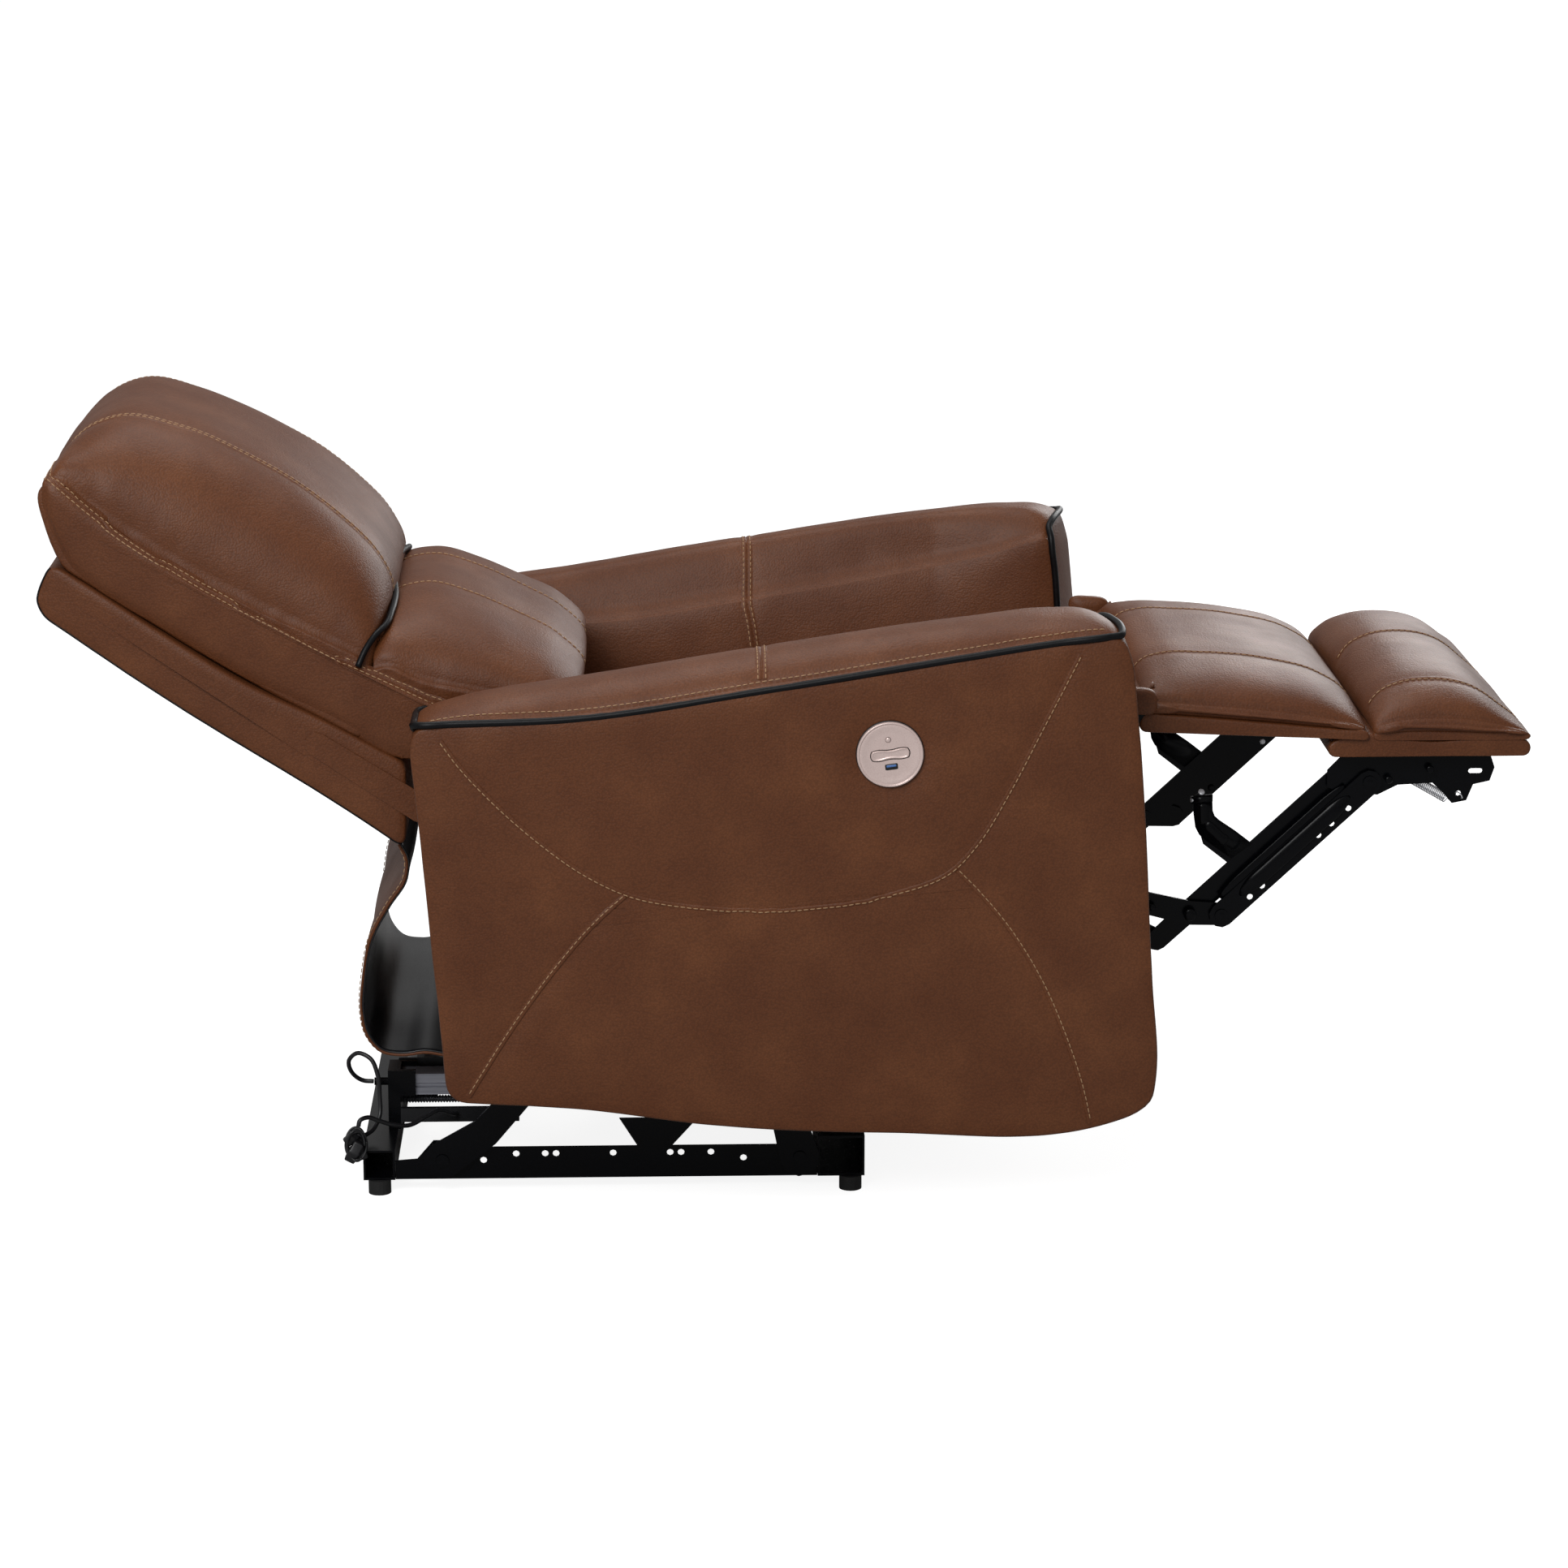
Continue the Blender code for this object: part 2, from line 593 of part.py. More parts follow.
# ---------------------------------------------------------------- arms
ARM_FRONT_EDGE = ((0.360, 0.551), (0.378, 0.285), (0.384, 0.149), (0.372, 0.129))
ARM_UNDER = ((0.324, 0.113), (0.106, 0.108), (-0.069, 0.117), (-0.243, 0.139), (-0.367, 0.146))
ARM_REAR_EDGE = ((-0.390, 0.381), (-0.405, 0.542))
ARM_TOP_X = (-0.403, -0.361, -0.238, -0.029, 0.189, 0.299, 0.345, 0.353)
ARM_EDGE_Z = (0.557, 0.558, 0.560, 0.592, 0.626, 0.643, 0.647, 0.627)
ARM_CROWN_Z = (0.557, 0.574, 0.595, 0.630, 0.662, 0.666, 0.655, 0.627)
ARM_BEAD = 0.0105  # width of the flat strip that the piping lies on
ARM_STATIONS = (  # across the arm: place, share of the crown's rise, how far the front is drawn back
    (ARM_INNER, 0.25, 0.027),
    (ARM_INNER + 0.013, 0.75, 0.020),
    (ARM_INNER + 0.040, 1.0, 0.012),
    (ARM_OUTER - 0.045, 1.0, 0.006),
    (ARM_OUTER - 0.022, 0.6, 0.001),
    (ARM_OUTER - ARM_BEAD, 0, 0),
    (ARM_OUTER, 0, 0),
)


def arm_ring(y, share, pull):
    tops = [
        (x, edge + (crown - edge) * share) for x, edge, crown in zip(ARM_TOP_X, ARM_EDGE_Z, ARM_CROWN_Z)
    ]
    outline = [*tops, *ARM_FRONT_EDGE, *ARM_UNDER, *ARM_REAR_EDGE]
    return [(x - pull * max(0, min(1, (x - 0.2) / 0.15)), y, z) for x, z in outline]


def arm(name, side):
    solid = loft(name, [arm_ring(side * y, share, pull) for y, share, pull in ARM_STATIONS])
    if side < 0:
        half = SOCKET_SIZE / 2 + Vector((1, 1)) * (SOCKET_WALL + GAP)
        depth = (side * (ARM_OUTER - SOCKET_DEPTH - SOCKET_WALL), side * (ARM_OUTER + 0.01))
        x_range = (SOCKET_AT.x - half.x, SOCKET_AT.x + half.x)
        z_range = (SOCKET_AT.y - half.y, SOCKET_AT.y + half.y)
        combine(solid, [box("pocket", x_range, depth, z_range)], "DIFFERENCE")
    place(solid, "carriage", "leather")


def arm_piping(name, side):
    y = side * (ARM_OUTER - PIPING_R)
    route = [(x, y, z + PIPING_R + 0.0026) for x, z in list(zip(ARM_TOP_X, ARM_EDGE_Z))[1:-1]]
    place(tube_mesh(tube(name, route, PIPING_R)), "carriage", "piping", smooth=True)


def make_arms():
    for label, side in SIDES.items():
        arm("arm_" + label, side)
        arm_piping("arm_piping_" + label, side)


# ---------------------------------------------------------------- switch
def rocker_outline(grow):
    """A dog-bone: two round ends with a narrow waist."""
    reach = ROCKER_LENGTH / 2 - ROCKER_R
    along = Vector((math.cos(ROCKER_TILT), math.sin(ROCKER_TILT)))
    across = Vector((-along.y, along.x))
    radius = ROCKER_R + grow
    points = []
    for way in (1, -1):
        for i in range(9):
            turn = math.radians(-115 + 230 * i / 8)
            spot = way * (along * (reach + radius * math.cos(turn)) + across * radius * math.sin(turn))
            points.append(tuple(SWITCH_AT + spot))
        points.append(tuple(SWITCH_AT + way * across * (ROCKER_WAIST + grow)))
    return points


def make_switch():
    face = -(ARM_OUTER + GAP)
    outer = face - SWITCH_THICK
    half = SOCKET_SIZE / 2 + Vector((1, 1)) * SOCKET_WALL
    hole = half + Vector((1, 1)) * GAP
    socket_hole = rectangle(
        (SOCKET_AT.x - hole.x, SOCKET_AT.x + hole.x), (SOCKET_AT.y - hole.y, SOCKET_AT.y + hole.y)
    )
    holes = [rocker_outline(ROCKER_PLAY), socket_hole, circle(DOME_AT, DOME_R + GAP, 8)]
    disc = prism("control_disc", circle(SWITCH_AT, SWITCH_R, 40), holes, "xz", (face + outer) / 2, SWITCH_THICK)
    place(disc, "carriage", "rose_metal")
    rocker = prism("rocker_button", rocker_outline(0), (), "xz", (face + outer) / 2 - 0.0008, SWITCH_THICK - 0.0014)
    place(rocker, "rocker", "rose_metal")
    dome = cylinder_y(DOME_AT, DOME_R, (face, outer - 0.001), 8)
    dome.name = "indicator_dome"
    place(dome, "carriage", "black_plastic")
    inner = -(ARM_OUTER - SOCKET_DEPTH)
    x_range, z_range = (SOCKET_AT.x - half.x, SOCKET_AT.x + half.x), (SOCKET_AT.y - half.y, SOCKET_AT.y + half.y)
    socket = box("usb_socket", x_range, (inner, outer + 0.0005), z_range)
    mouth_x = (x_range[0] + SOCKET_WALL, x_range[1] - SOCKET_WALL)
    mouth_z = (z_range[0] + SOCKET_WALL, z_range[1] - SOCKET_WALL)
    mouth = box("mouth", mouth_x, (inner - SOCKET_WALL, outer - 0.01), mouth_z)
    place(combine(socket, [mouth], "DIFFERENCE"), "carriage", "black_plastic")


# ---------------------------------------------------------------- back
SPAN_OF_HEAD = 0.35
LUMBAR_EDGE = (
    (-0.270, 0.528),
    (-0.256, 0.540),
    (-0.272, 0.550),
    (-0.305, 0.561),
    (-0.345, 0.569),
    (-0.395, 0.580),
    (-0.440, 0.596),
    (-0.455, 0.590),
)
LUMBAR_CREST = (
    (-0.262, 0.535),
    (-0.238, 0.560),
    (-0.262, 0.592),
    (-0.300, 0.618),
    (-0.345, 0.642),
    (-0.398, 0.656),
    (-0.440, 0.652),
    (-0.452, 0.630),
)
HEAD_EDGE = (
    (-0.459, 0.602),
    (-0.475, 0.617),
    (-0.510, 0.641),
    (-0.560, 0.671),
    (-0.640, 0.716),
    (-0.700, 0.749),
    (-0.750, 0.776),
    (-0.785, 0.784),
    (-0.798, 0.766),
    (-0.795, 0.735),
)
HEAD_CREST = (
    (-0.455, 0.632),
    (-0.443, 0.668),
    (-0.470, 0.718),
    (-0.517, 0.767),
    (-0.585, 0.814),
    (-0.657, 0.847),
    (-0.727, 0.863),
    (-0.775, 0.848),
    (-0.803, 0.795),
    (-0.800, 0.742),
)
PILLOW_LIFT = 0.0012  # the pillows' gap to the shell, which their flat undersides keep all along it


def on_shell(x):
    """Height of the shell's top at x."""
    line = [*SHELL_TOP, SHELL_END[1]]
    for (x0, z0), (x1, z1) in zip(line, line[1:]):
        if x1 <= x <= x0:
            return z0 + (z1 - z0) * (x - x0) / (x1 - x0) + PILLOW_LIFT
    return line[0][1] + PILLOW_LIFT


def make_back_shell():
    bottoms = [*SHELL_BOTTOM, SHELL_END[0]]
    tops = [*SHELL_TOP, SHELL_END[1]]
    halves = (SHELL_HALF, SHELL_HALF, SHELL_HALF - 0.004, HEAD_HALF_TOP)
    rings = []
    for (xb, zb), (xt, zt), half in zip(bottoms, tops, halves):
        rings.append([(xb, -half, zb), (xb, half, zb), (xt, half, zt), (xt, -half, zt)])
    place(loft("back_shell", rings), "back", "leather")


def make_back_brackets():
    path = [(*BACK_HINGE, 0.013), (-0.400, 0.440, 0.015), (-0.510, 0.512, 0.013)]
    for label, side in SIDES.items():
        plate = prism("back_bracket_" + label, strip(path), [pin_hole(BACK_HINGE)], "xz", side * Y_HINGE, HINGE_PLATE)
        place(plate, "back", "painted_steel")


def make_pillows():
    under = [(x, on_shell(x)) for x in (-0.500, -0.4152)]
    lumbar = pad("lumbar_pillow", [*LUMBAR_EDGE, *under], [*LUMBAR_CREST, *under], PILLOW_HALF)
    place(lumbar, "back", "leather", smooth=True)
    under = [(x, on_shell(x)) for x in (-0.785, -0.757, -0.587, -0.503)]
    head = pad("head_pillow", [*HEAD_EDGE, *under], [*HEAD_CREST, *under], PILLOW_HALF, HEAD_HALF_TOP)
    place(head, "back", "leather", smooth=True)
    route = []
    for share in (-0.99, *PAD_SHARES[1:-1], 0.99):
        rise = pad_rise(share)
        low, high = Vector((-0.450, 0.6035)), Vector((-0.4402, 0.6568))
        spot = low + (high - low) * rise
        route.append((spot.x, share * PILLOW_HALF, spot.y + 0.001))
    place(tube_mesh(tube("pillow_piping", route, PIPING_R)), "back", "piping", smooth=True)


FLAP_THICK = 0.005
FLAP_HALF = SHELL_HALF - 0.0167
FLAP_ROUTE = ((-0.4215, 0.387), (-0.418, 0.360), (-0.458, 0.289), (-0.467, 0.206), (-0.448, 0.162), (-0.377, 0.157))


def make_flap():
    """The skirt that closes the gap below the back: a bent sheet across the chair."""
    line = [Vector((p.x, p.z)) for p in smooth_path([(x, 0, z) for x, z in FLAP_ROUTE], 0.022)]
    ways = [(b - a).normalized() for a, b in zip(line, line[1:])]
    ways = [ways[0], *ways]
    offset = [Vector((-w.y, w.x)) * FLAP_THICK / 2 for w in ways]
    outline = [p + o for p, o in zip(line, offset)] + [p - o for p, o in zip(line[::-1], offset[::-1])]
    outline = [tuple(p) for p in outline]
    place(prism("back_flap", outline, depth=2 * FLAP_HALF), "carriage", "lining")


# ---------------------------------------------------------------- footrest
CALF_START = 0.3805
BOARD_THICK = 0.012
CALF_UNDER = ((0.378, 0.519), (0.629, 0.508))
FOOT_BOARD_X = (0.585, 0.806)
FOOT_BOARD_Z = (0.488, 0.505)


def calf_under(x):
    (x0, z0), (x1, z1) = CALF_UNDER
    return z0 + (z1 - z0) * (x - x0) / (x1 - x0)


def make_calf_section():
    end = CREASE.x - 0.003
    under = [(CALF_START, calf_under(CALF_START)), (end, calf_under(end))]
    outline = [*under, *[(x, z + BOARD_THICK) for x, z in under[::-1]]]
    board = prism("calf_board", outline, depth=2 * BOARD_HALF)
    lugs = []
    for side in SIDES.values():
        path = [(*CALF_HINGE, 0.0095), (0.402, calf_under(0.402) + 0.009, 0.0085)]
        lugs.append(prism("lug", strip(path), [pin_hole(CALF_HINGE)], "xz", side * Y_HINGE, HINGE_PLATE))
    place(combine(board, lugs), "calf", "board")
    over = BOARD_THICK + GAP + 0.0002
    base = [(end - 0.002, calf_under(end) + over), (CALF_START + 0.002, calf_under(CALF_START) + over)]
    edge = [(0.382, 0.543), (0.400, 0.548), (0.460, 0.546), (0.530, 0.541), (0.590, 0.531), (0.618, 0.526)]
    crest = [(0.386, 0.564), (0.411, 0.581), (0.460, 0.582), (0.530, 0.575), (0.592, 0.556), (0.622, 0.531)]
    calf = pad("calf_pad", [*edge, *base], [*crest, *base], PAD_HALF)
    place(calf, "calf", "leather", smooth=True)


def make_foot_section():
    outline = rectangle(FOOT_BOARD_X, FOOT_BOARD_Z)
    place(prism("foot_board", outline, depth=2 * PAD_HALF), "foot", "leather")
    low = FOOT_BOARD_Z[1] + GAP
    base = [(FOOT_BOARD_X[1] - 0.002, low), (0.634, low)]
    edge = [(0.636, 0.520), (0.660, 0.527), (0.706, 0.531), (0.760, 0.526), (0.802, 0.514)]
    crest = [(0.638, 0.534), (0.660, 0.563), (0.700, 0.573), (0.752, 0.562), (0.803, 0.516)]
    sole = pad("foot_pad", [*edge, *base], [*crest, *base], PAD_HALF)
    place(sole, "foot", "leather", smooth=True)


def make_ottoman_brackets():
    top = FOOT_BOARD_Z[0] - GAP
    outline = [
        (TOP_INNER.x - 0.013, TOP_INNER.y - 0.010),
        (TOP_INNER.x - 0.013, TOP_INNER.y + 0.009),
        (TOP_INNER.x + 0.006, top),
        (0.766, top),
        (0.772, 0.470),
        (0.767, 0.455),
        (0.749, 0.451),
        (0.742, 0.433),
        (0.726, 0.430),
        (0.716, 0.442),
        (0.704, 0.453),
        (0.666, 0.451),
        (0.644, 0.440),
        (TOP_INNER.x, TOP_INNER.y - 0.015),
    ]
    slot = strip([(0.746, 0.466, 0.003), (0.756, 0.466, 0.003)], 4)
    for label, side in SIDES.items():
        holes = [slot, circle((0.733, 0.441), 0.0032, 8)]
        plate = prism("ottoman_bracket_" + label, outline, holes, "xz", side * Y_LOWER_LINK)
        pins = rivet(TOP_INNER, side, Y_LOWER_LINK, Y_INNER_BAR, PLATE)
        pins += rivet(TOP_OUTER, side, Y_LOWER_LINK, Y_OUTER_BAR, PLATE)
        place(combine(plate, pins), "foot", "painted_steel")
        y = side * (Y_INNER_BAR - 0.003)
        spring = cylinder("ottoman_spring_" + label, (0.652, y, 0.4755), (0.706, y, 0.4480), 0.0045, 10)
        place(spring, "foot", "zinc_steel", smooth=True)


def make_lower_links():
    path = [
        (*LOWER_PIVOT, LINK_HALF),
        (0.309, 0.3725, 0.018),
        (*LOWER_KNEE, 0.0125),
        (*JOINT_INNER, 0.0135),
        (*JOINT_OUTER, 0.0125),
    ]
    for label, side in SIDES.items():
        link = prism("lower_link_" + label, strip(path), [pin_hole(LOWER_PIVOT)], "xz", side * Y_LOWER_LINK)
        pins = rivet(JOINT_INNER, side, Y_LOWER_LINK, Y_INNER_BAR, PLATE)
        pins += rivet(JOINT_OUTER, side, Y_LOWER_LINK, Y_OUTER_BAR, PLATE)
        place(combine(link, pins), "lower_links", "painted_steel")
    torque_tube("legrest_torque_tube", "lower_links", LEGREST_TUBE_AT, LEGREST_TUBE_R, Y_LOWER_LINK - PLATE / 2)


def along_bar(start, end, distance, across=0.0):
    way = (end - start).normalized()
    return start + way * distance + Vector((way.y, -way.x)) * across


def make_outer_bars():
    path = [(*JOINT_OUTER, BAR_HALF), (*TOP_OUTER, BAR_HALF)]
    holes = [pin_hole(JOINT_OUTER), open_hole(TOP_OUTER)]
    for distance in (0.037, 0.055, 0.138, 0.157, 0.182):
        holes.append(circle(along_bar(JOINT_OUTER, TOP_OUTER, distance, 0.006), 0.0035, 8))
    for label, side in SIDES.items():
        bar = prism("outer_bar_" + label, strip(path), holes, "xz", side * Y_OUTER_BAR)
        place(bar, "outer_bars", "painted_steel")


def make_inner_bars():
    path = [(*SUPPORT_JOINT, 0.0115), (*JOINT_INNER, 0.012), (*TOP_INNER, 0.012)]
    holes = [pin_hole(JOINT_INNER), open_hole(TOP_INNER)]
    offset = [(0.501, 0.362, 0.011), (0.464, 0.391, 0.011), (0.450, 0.432, 0.0095)]
    for label, side in SIDES.items():
        bar = prism("inner_bar_" + label, strip(path), holes, "xz", side * Y_INNER_BAR)
        bracket = prism("offset", strip(offset), (), "xz", side * Y_INNER_BAR, PLATE - 0.0006)
        pins = rivet(SUPPORT_JOINT, side, Y_INNER_BAR, Y_SUPPORT, PLATE)
        place(combine(bar, [bracket, *pins]), "inner_bars", "painted_steel")


def make_support_links():
    path = [(*SUPPORT_PIVOT, 0.010), (*SUPPORT_JOINT, 0.0115)]
    holes = [pin_hole(SUPPORT_PIVOT), open_hole(SUPPORT_JOINT)]
    for label, side in SIDES.items():
        link = prism("support_link_" + label, strip(path), holes, "xz", side * Y_SUPPORT)
        place(link, "support_links", "painted_steel")


# ---------------------------------------------------------------- actuator and leads
def make_actuator():
    half, (low, high) = CHANNEL_HALF, CHANNEL_Z
    groove = 0.0025
    flank = [(half, low), (half, low + 0.008), (half - groove, low + 0.0095), (half - groove, low + 0.012)]
    flank += [(half, low + 0.0135), (half, high)]
    section = [(ACTUATOR_Y + u, v) for u, v in flank] + [(ACTUATOR_Y - u, v) for u, v in flank[::-1]]
    channel = prism(
        "actuator_channel", section, (), "yz", sum(CHANNEL_X) / 2, CHANNEL_X[1] - CHANNEL_X[0]
    )
    place(channel, "base", "aluminium")
    screw = cylinder(
        "lead_screw", (CHANNEL_X[0], ACTUATOR_Y, SCREW_Z), (CHANNEL_X[1], ACTUATOR_Y, SCREW_Z), SCREW_R, 10
    )
    place(screw, "base", "zinc_steel", smooth=True)

    bar_y = ACTUATOR_Y - CHANNEL_HALF - 0.006
    bar = box("limit_switch_bar", (CHANNEL_X[0], -0.300), (bar_y - 0.007, bar_y), (0.060, 0.076))
    place(bar, "base", "black_plastic")

    plate_x = (REAR_TUBE_X[1] - 0.0105, CHANNEL_X[0] - GAP)
    ear = CHANNEL_HALF + 0.0005
    floor = TUBE_BOTTOM + REAR_TUBE_HEIGHT + GAP
    clevis = box("actuator_clevis", plate_x, (ACTUATOR_Y - 0.022, ACTUATOR_Y + 0.022), (floor, 0.118))
    ears = []
    for way in (1, -1):
        y_range = (ACTUATOR_Y + way * ear, ACTUATOR_Y + way * 0.022)
        ears.append(box("ear", (plate_x[0], plate_x[1] + 0.017), y_range, (0.0885, 0.118)))
    gland = cylinder("gland", (plate_x[0] - 0.016, ACTUATOR_Y - 0.005, 0.101), (plate_x[1], ACTUATOR_Y - 0.005, 0.101), 0.0045, 10)
    place(combine(clevis, [*ears, gland]), "base", "painted_steel")

    motor_y = ACTUATOR_Y + 0.0235
    motor = cylinder("motor_housing", (-0.408, motor_y, 0.0925), (-0.408, motor_y + 0.100, 0.0925), 0.023, 16)
    wing = prism(
        "wing", rectangle((-0.436, -0.330), (0.104, 0.119)), [circle((-0.420, 0.1115), 0.0042, 8)],
        "xz", motor_y + 0.002, 0.003,
    )
    place(combine(motor, [wing]), "base", "black_plastic")

    block = prism(
        "nut_block",
        rectangle((ACTUATOR_Y - NUT_HALF.y, ACTUATOR_Y + NUT_HALF.y), NUT_Z),
        [circle((ACTUATOR_Y, SCREW_Z), SCREW_R + PIN_PLAY, 10)],
        "yz",
        NUT_X,
        2 * NUT_HALF.x,
    )
    pin = cylinder_y((NUT_X, SCREW_Z), DRIVE_PIN_R, (ACTUATOR_Y + 0.010, DRIVE_Y + 0.008), 10)
    place(combine(block, [pin]), "nut", "black_plastic")


BUNDLE_X = (-0.488, -0.463)
BUNDLE_WIDTH = 0.0255
BUNDLE_Y = (-TUBE_HALF - 0.001 - BUNDLE_WIDTH, -TUBE_HALF - 0.001)
BUNDLE_Z = (0.037, 0.082)
HOOK_X = (-0.478, -0.4708)
LEAD_R = 0.0025
MOTOR_LEAD = (
    (-0.4628, -0.155, 0.101),
    (-0.474, -0.155, 0.102),
    (-0.487, -0.163, 0.115),
    (-0.489, -0.170, 0.130),
    (-0.478, -0.178, 0.141),
    (-0.464, -0.184, 0.136),
    (-0.4565, -0.188, 0.119),
    (-0.4545, -0.190, 0.094),
    (-0.4545, -0.196, 0.074),
    (-0.461, -0.208, 0.062),
    (-0.471, -0.225, 0.059),
    (-0.4755, -0.2490, 0.059),
)
SWITCH_LEAD = (
    (-0.474, -0.2630, 0.0827),
    (-0.4725, -0.2622, 0.0885),
    (-0.465, -0.256, 0.0905),
    (-0.453, -0.247, 0.084),
    (-0.437, -0.236, 0.0755),
    (-0.420, -0.225, 0.0715),
    (-0.402, -0.212, 0.077),
    (-0.388, -0.201, 0.081),
    (-0.373, -0.191, 0.0735),
    (-0.3695, -0.1795, 0.070),
)


def make_leads():
    bundle = box("connector_bundle", BUNDLE_X, BUNDLE_Y, BUNDLE_Z)
    latch = box(
        "latch",
        (BUNDLE_X[0] - 0.003, BUNDLE_X[0] + 0.001),
        (BUNDLE_Y[0] + 0.008, BUNDLE_Y[0] + 0.018),
        (BUNDLE_Z[0] + 0.015, BUNDLE_Z[1] - 0.012),
    )
    hook_y = (BUNDLE_Y[0] + 0.014, -TUBE_HALF + 0.0115)
    hook = box("hook", HOOK_X, hook_y, (BUNDLE_Z[0] + 0.001, BUNDLE_Z[0] + 0.010))
    place(combine(bundle, [latch, hook]), "base", "black_plastic")
    place(tube_mesh(tube("motor_lead", MOTOR_LEAD, LEAD_R)), "base", "black_plastic", smooth=True)
    place(tube_mesh(tube("switch_lead", SWITCH_LEAD, LEAD_R)), "base", "black_plastic", smooth=True)


# ---------------------------------------------------------------- assembly
clear_scene()
chair = collection_of("recliner_chair")
body("base")
body("rear_links", REAR_PIVOT)
body("front_links", FRONT_PIVOT)
body("carriage", REAR_TOP)
body("nut", (NUT_X, SCREW_Z))
body("rocker", SWITCH_AT)
body("back", BACK_HINGE)
body("calf", CALF_HINGE)
body("foot", CREASE)
body("lower_links", LOWER_PIVOT)
body("outer_bars", JOINT_OUTER)
body("inner_bars", JOINT_INNER)
body("support_links", SUPPORT_PIVOT)

make_base()
make_base_links()
make_seat_frame()
make_seat_cushion()
make_arms()
make_switch()
make_back_shell()
make_back_brackets()
make_pillows()
make_flap()
make_calf_section()
make_foot_section()
make_ottoman_brackets()
make_lower_links()
make_outer_bars()
make_inner_bars()
make_support_links()
make_actuator()
make_leads()
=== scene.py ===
# %% [markdown]
# # Dressing a power recliner
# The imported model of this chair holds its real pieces: rails, links, boards and plain cushion solids. This
# lesson keeps every steel piece where it is, gives it a finish, and builds the leather, the stitching, the
# springs and the leads around it. Everything is in metres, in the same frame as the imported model.

# %% The frame
import math

import bmesh
import bpy
import numpy as np
from mathutils import Euler, Matrix, Vector, noise
from mathutils.bvhtree import BVHTree


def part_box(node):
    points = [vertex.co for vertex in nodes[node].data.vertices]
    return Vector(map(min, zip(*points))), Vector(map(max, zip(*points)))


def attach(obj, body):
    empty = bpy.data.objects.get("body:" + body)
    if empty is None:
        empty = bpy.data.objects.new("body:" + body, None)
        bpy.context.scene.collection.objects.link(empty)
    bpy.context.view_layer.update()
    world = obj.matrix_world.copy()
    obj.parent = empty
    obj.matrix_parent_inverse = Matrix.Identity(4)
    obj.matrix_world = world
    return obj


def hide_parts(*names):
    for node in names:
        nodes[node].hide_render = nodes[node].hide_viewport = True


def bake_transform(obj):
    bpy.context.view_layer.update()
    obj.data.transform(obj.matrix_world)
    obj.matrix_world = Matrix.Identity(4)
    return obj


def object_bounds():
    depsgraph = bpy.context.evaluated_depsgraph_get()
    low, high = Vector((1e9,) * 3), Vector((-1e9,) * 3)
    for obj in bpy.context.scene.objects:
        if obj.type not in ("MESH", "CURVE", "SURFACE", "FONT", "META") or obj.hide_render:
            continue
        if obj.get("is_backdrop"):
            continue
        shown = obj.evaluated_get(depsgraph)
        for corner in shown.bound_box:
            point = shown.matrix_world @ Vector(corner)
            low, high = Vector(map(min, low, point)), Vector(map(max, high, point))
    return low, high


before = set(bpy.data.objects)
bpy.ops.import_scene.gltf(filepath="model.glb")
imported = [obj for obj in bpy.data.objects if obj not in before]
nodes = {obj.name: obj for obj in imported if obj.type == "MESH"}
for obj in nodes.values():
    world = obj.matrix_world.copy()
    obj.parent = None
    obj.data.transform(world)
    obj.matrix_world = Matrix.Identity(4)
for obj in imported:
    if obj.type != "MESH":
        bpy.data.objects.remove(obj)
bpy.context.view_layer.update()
MM = 0.001
SIDES = {"left": 1, "right": -1}

# %% [markdown]
# ## What a piece belongs to
# A new piece moves with one body of the imported model and may take an imported piece's place. One helper says
# both and prints the piece.


# %% Dressing helper
def dress(piece, body, node=None):
    """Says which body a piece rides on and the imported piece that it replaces."""
    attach(piece, body)
    if node:
        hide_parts(node)
    print(f"{piece.name} rides on {body}: {len(piece.data.polygons)} faces")


# %% [markdown]
# ## Camera
# A chair in a studio is best seen from far away through a long lens, so that its sides hardly converge.
# The camera stands five metres off, looks slightly down, and turns a little towards the footrest.

# %% Camera
CAMERA_AT = (-0.1571, -5.0492, 1.6062)
CAMERA_PITCH, CAMERA_YAW = math.radians(13.4), math.radians(1.8)
LENS_MM = 104.54

lens = bpy.data.cameras.new("studio_camera")
lens.lens = LENS_MM
lens.sensor_width = 36
camera = bpy.data.objects.new("studio_camera", lens)
bpy.context.scene.collection.objects.link(camera)
camera.location = CAMERA_AT
camera.rotation_euler = (math.pi / 2 - CAMERA_PITCH, 0, -CAMERA_YAW)
bpy.context.scene.camera = camera
print("lens", LENS_MM, "mm, camera at", CAMERA_AT)


# %% [markdown]
# ## Curves and surfaces
# Upholstery has no straight lines, so nearly every outline here is a smooth curve through a few chosen
# points. A surface is a grid: rows of points, one row after another. A closed cushion is a loft of closed
# rings whose two ends are filled by rings that shrink towards the middle, which lets each end bulge a little.


# %% Curve helpers
def travelled(line):
    """How far along the line each of its points is."""
    return np.concatenate([[0], np.cumsum(np.linalg.norm(np.diff(line, axis=0), axis=1))])


def between(at, along, values):
    """The rows of values, which stand at the distances along, read off at other distances."""
    return np.stack([np.interp(at, along, column) for column in values.T], axis=-1)


def unit(rows):
    return rows / np.linalg.norm(rows, axis=-1, keepdims=True)


def round_angles(count):
    return np.arange(count) * 2 * math.pi / count


def circle(centre, radius, across, up, count):
    angle = round_angles(count)[:, None]
    return np.array(centre) + radius * (np.cos(angle) * np.array(across) + np.sin(angle) * np.array(up))


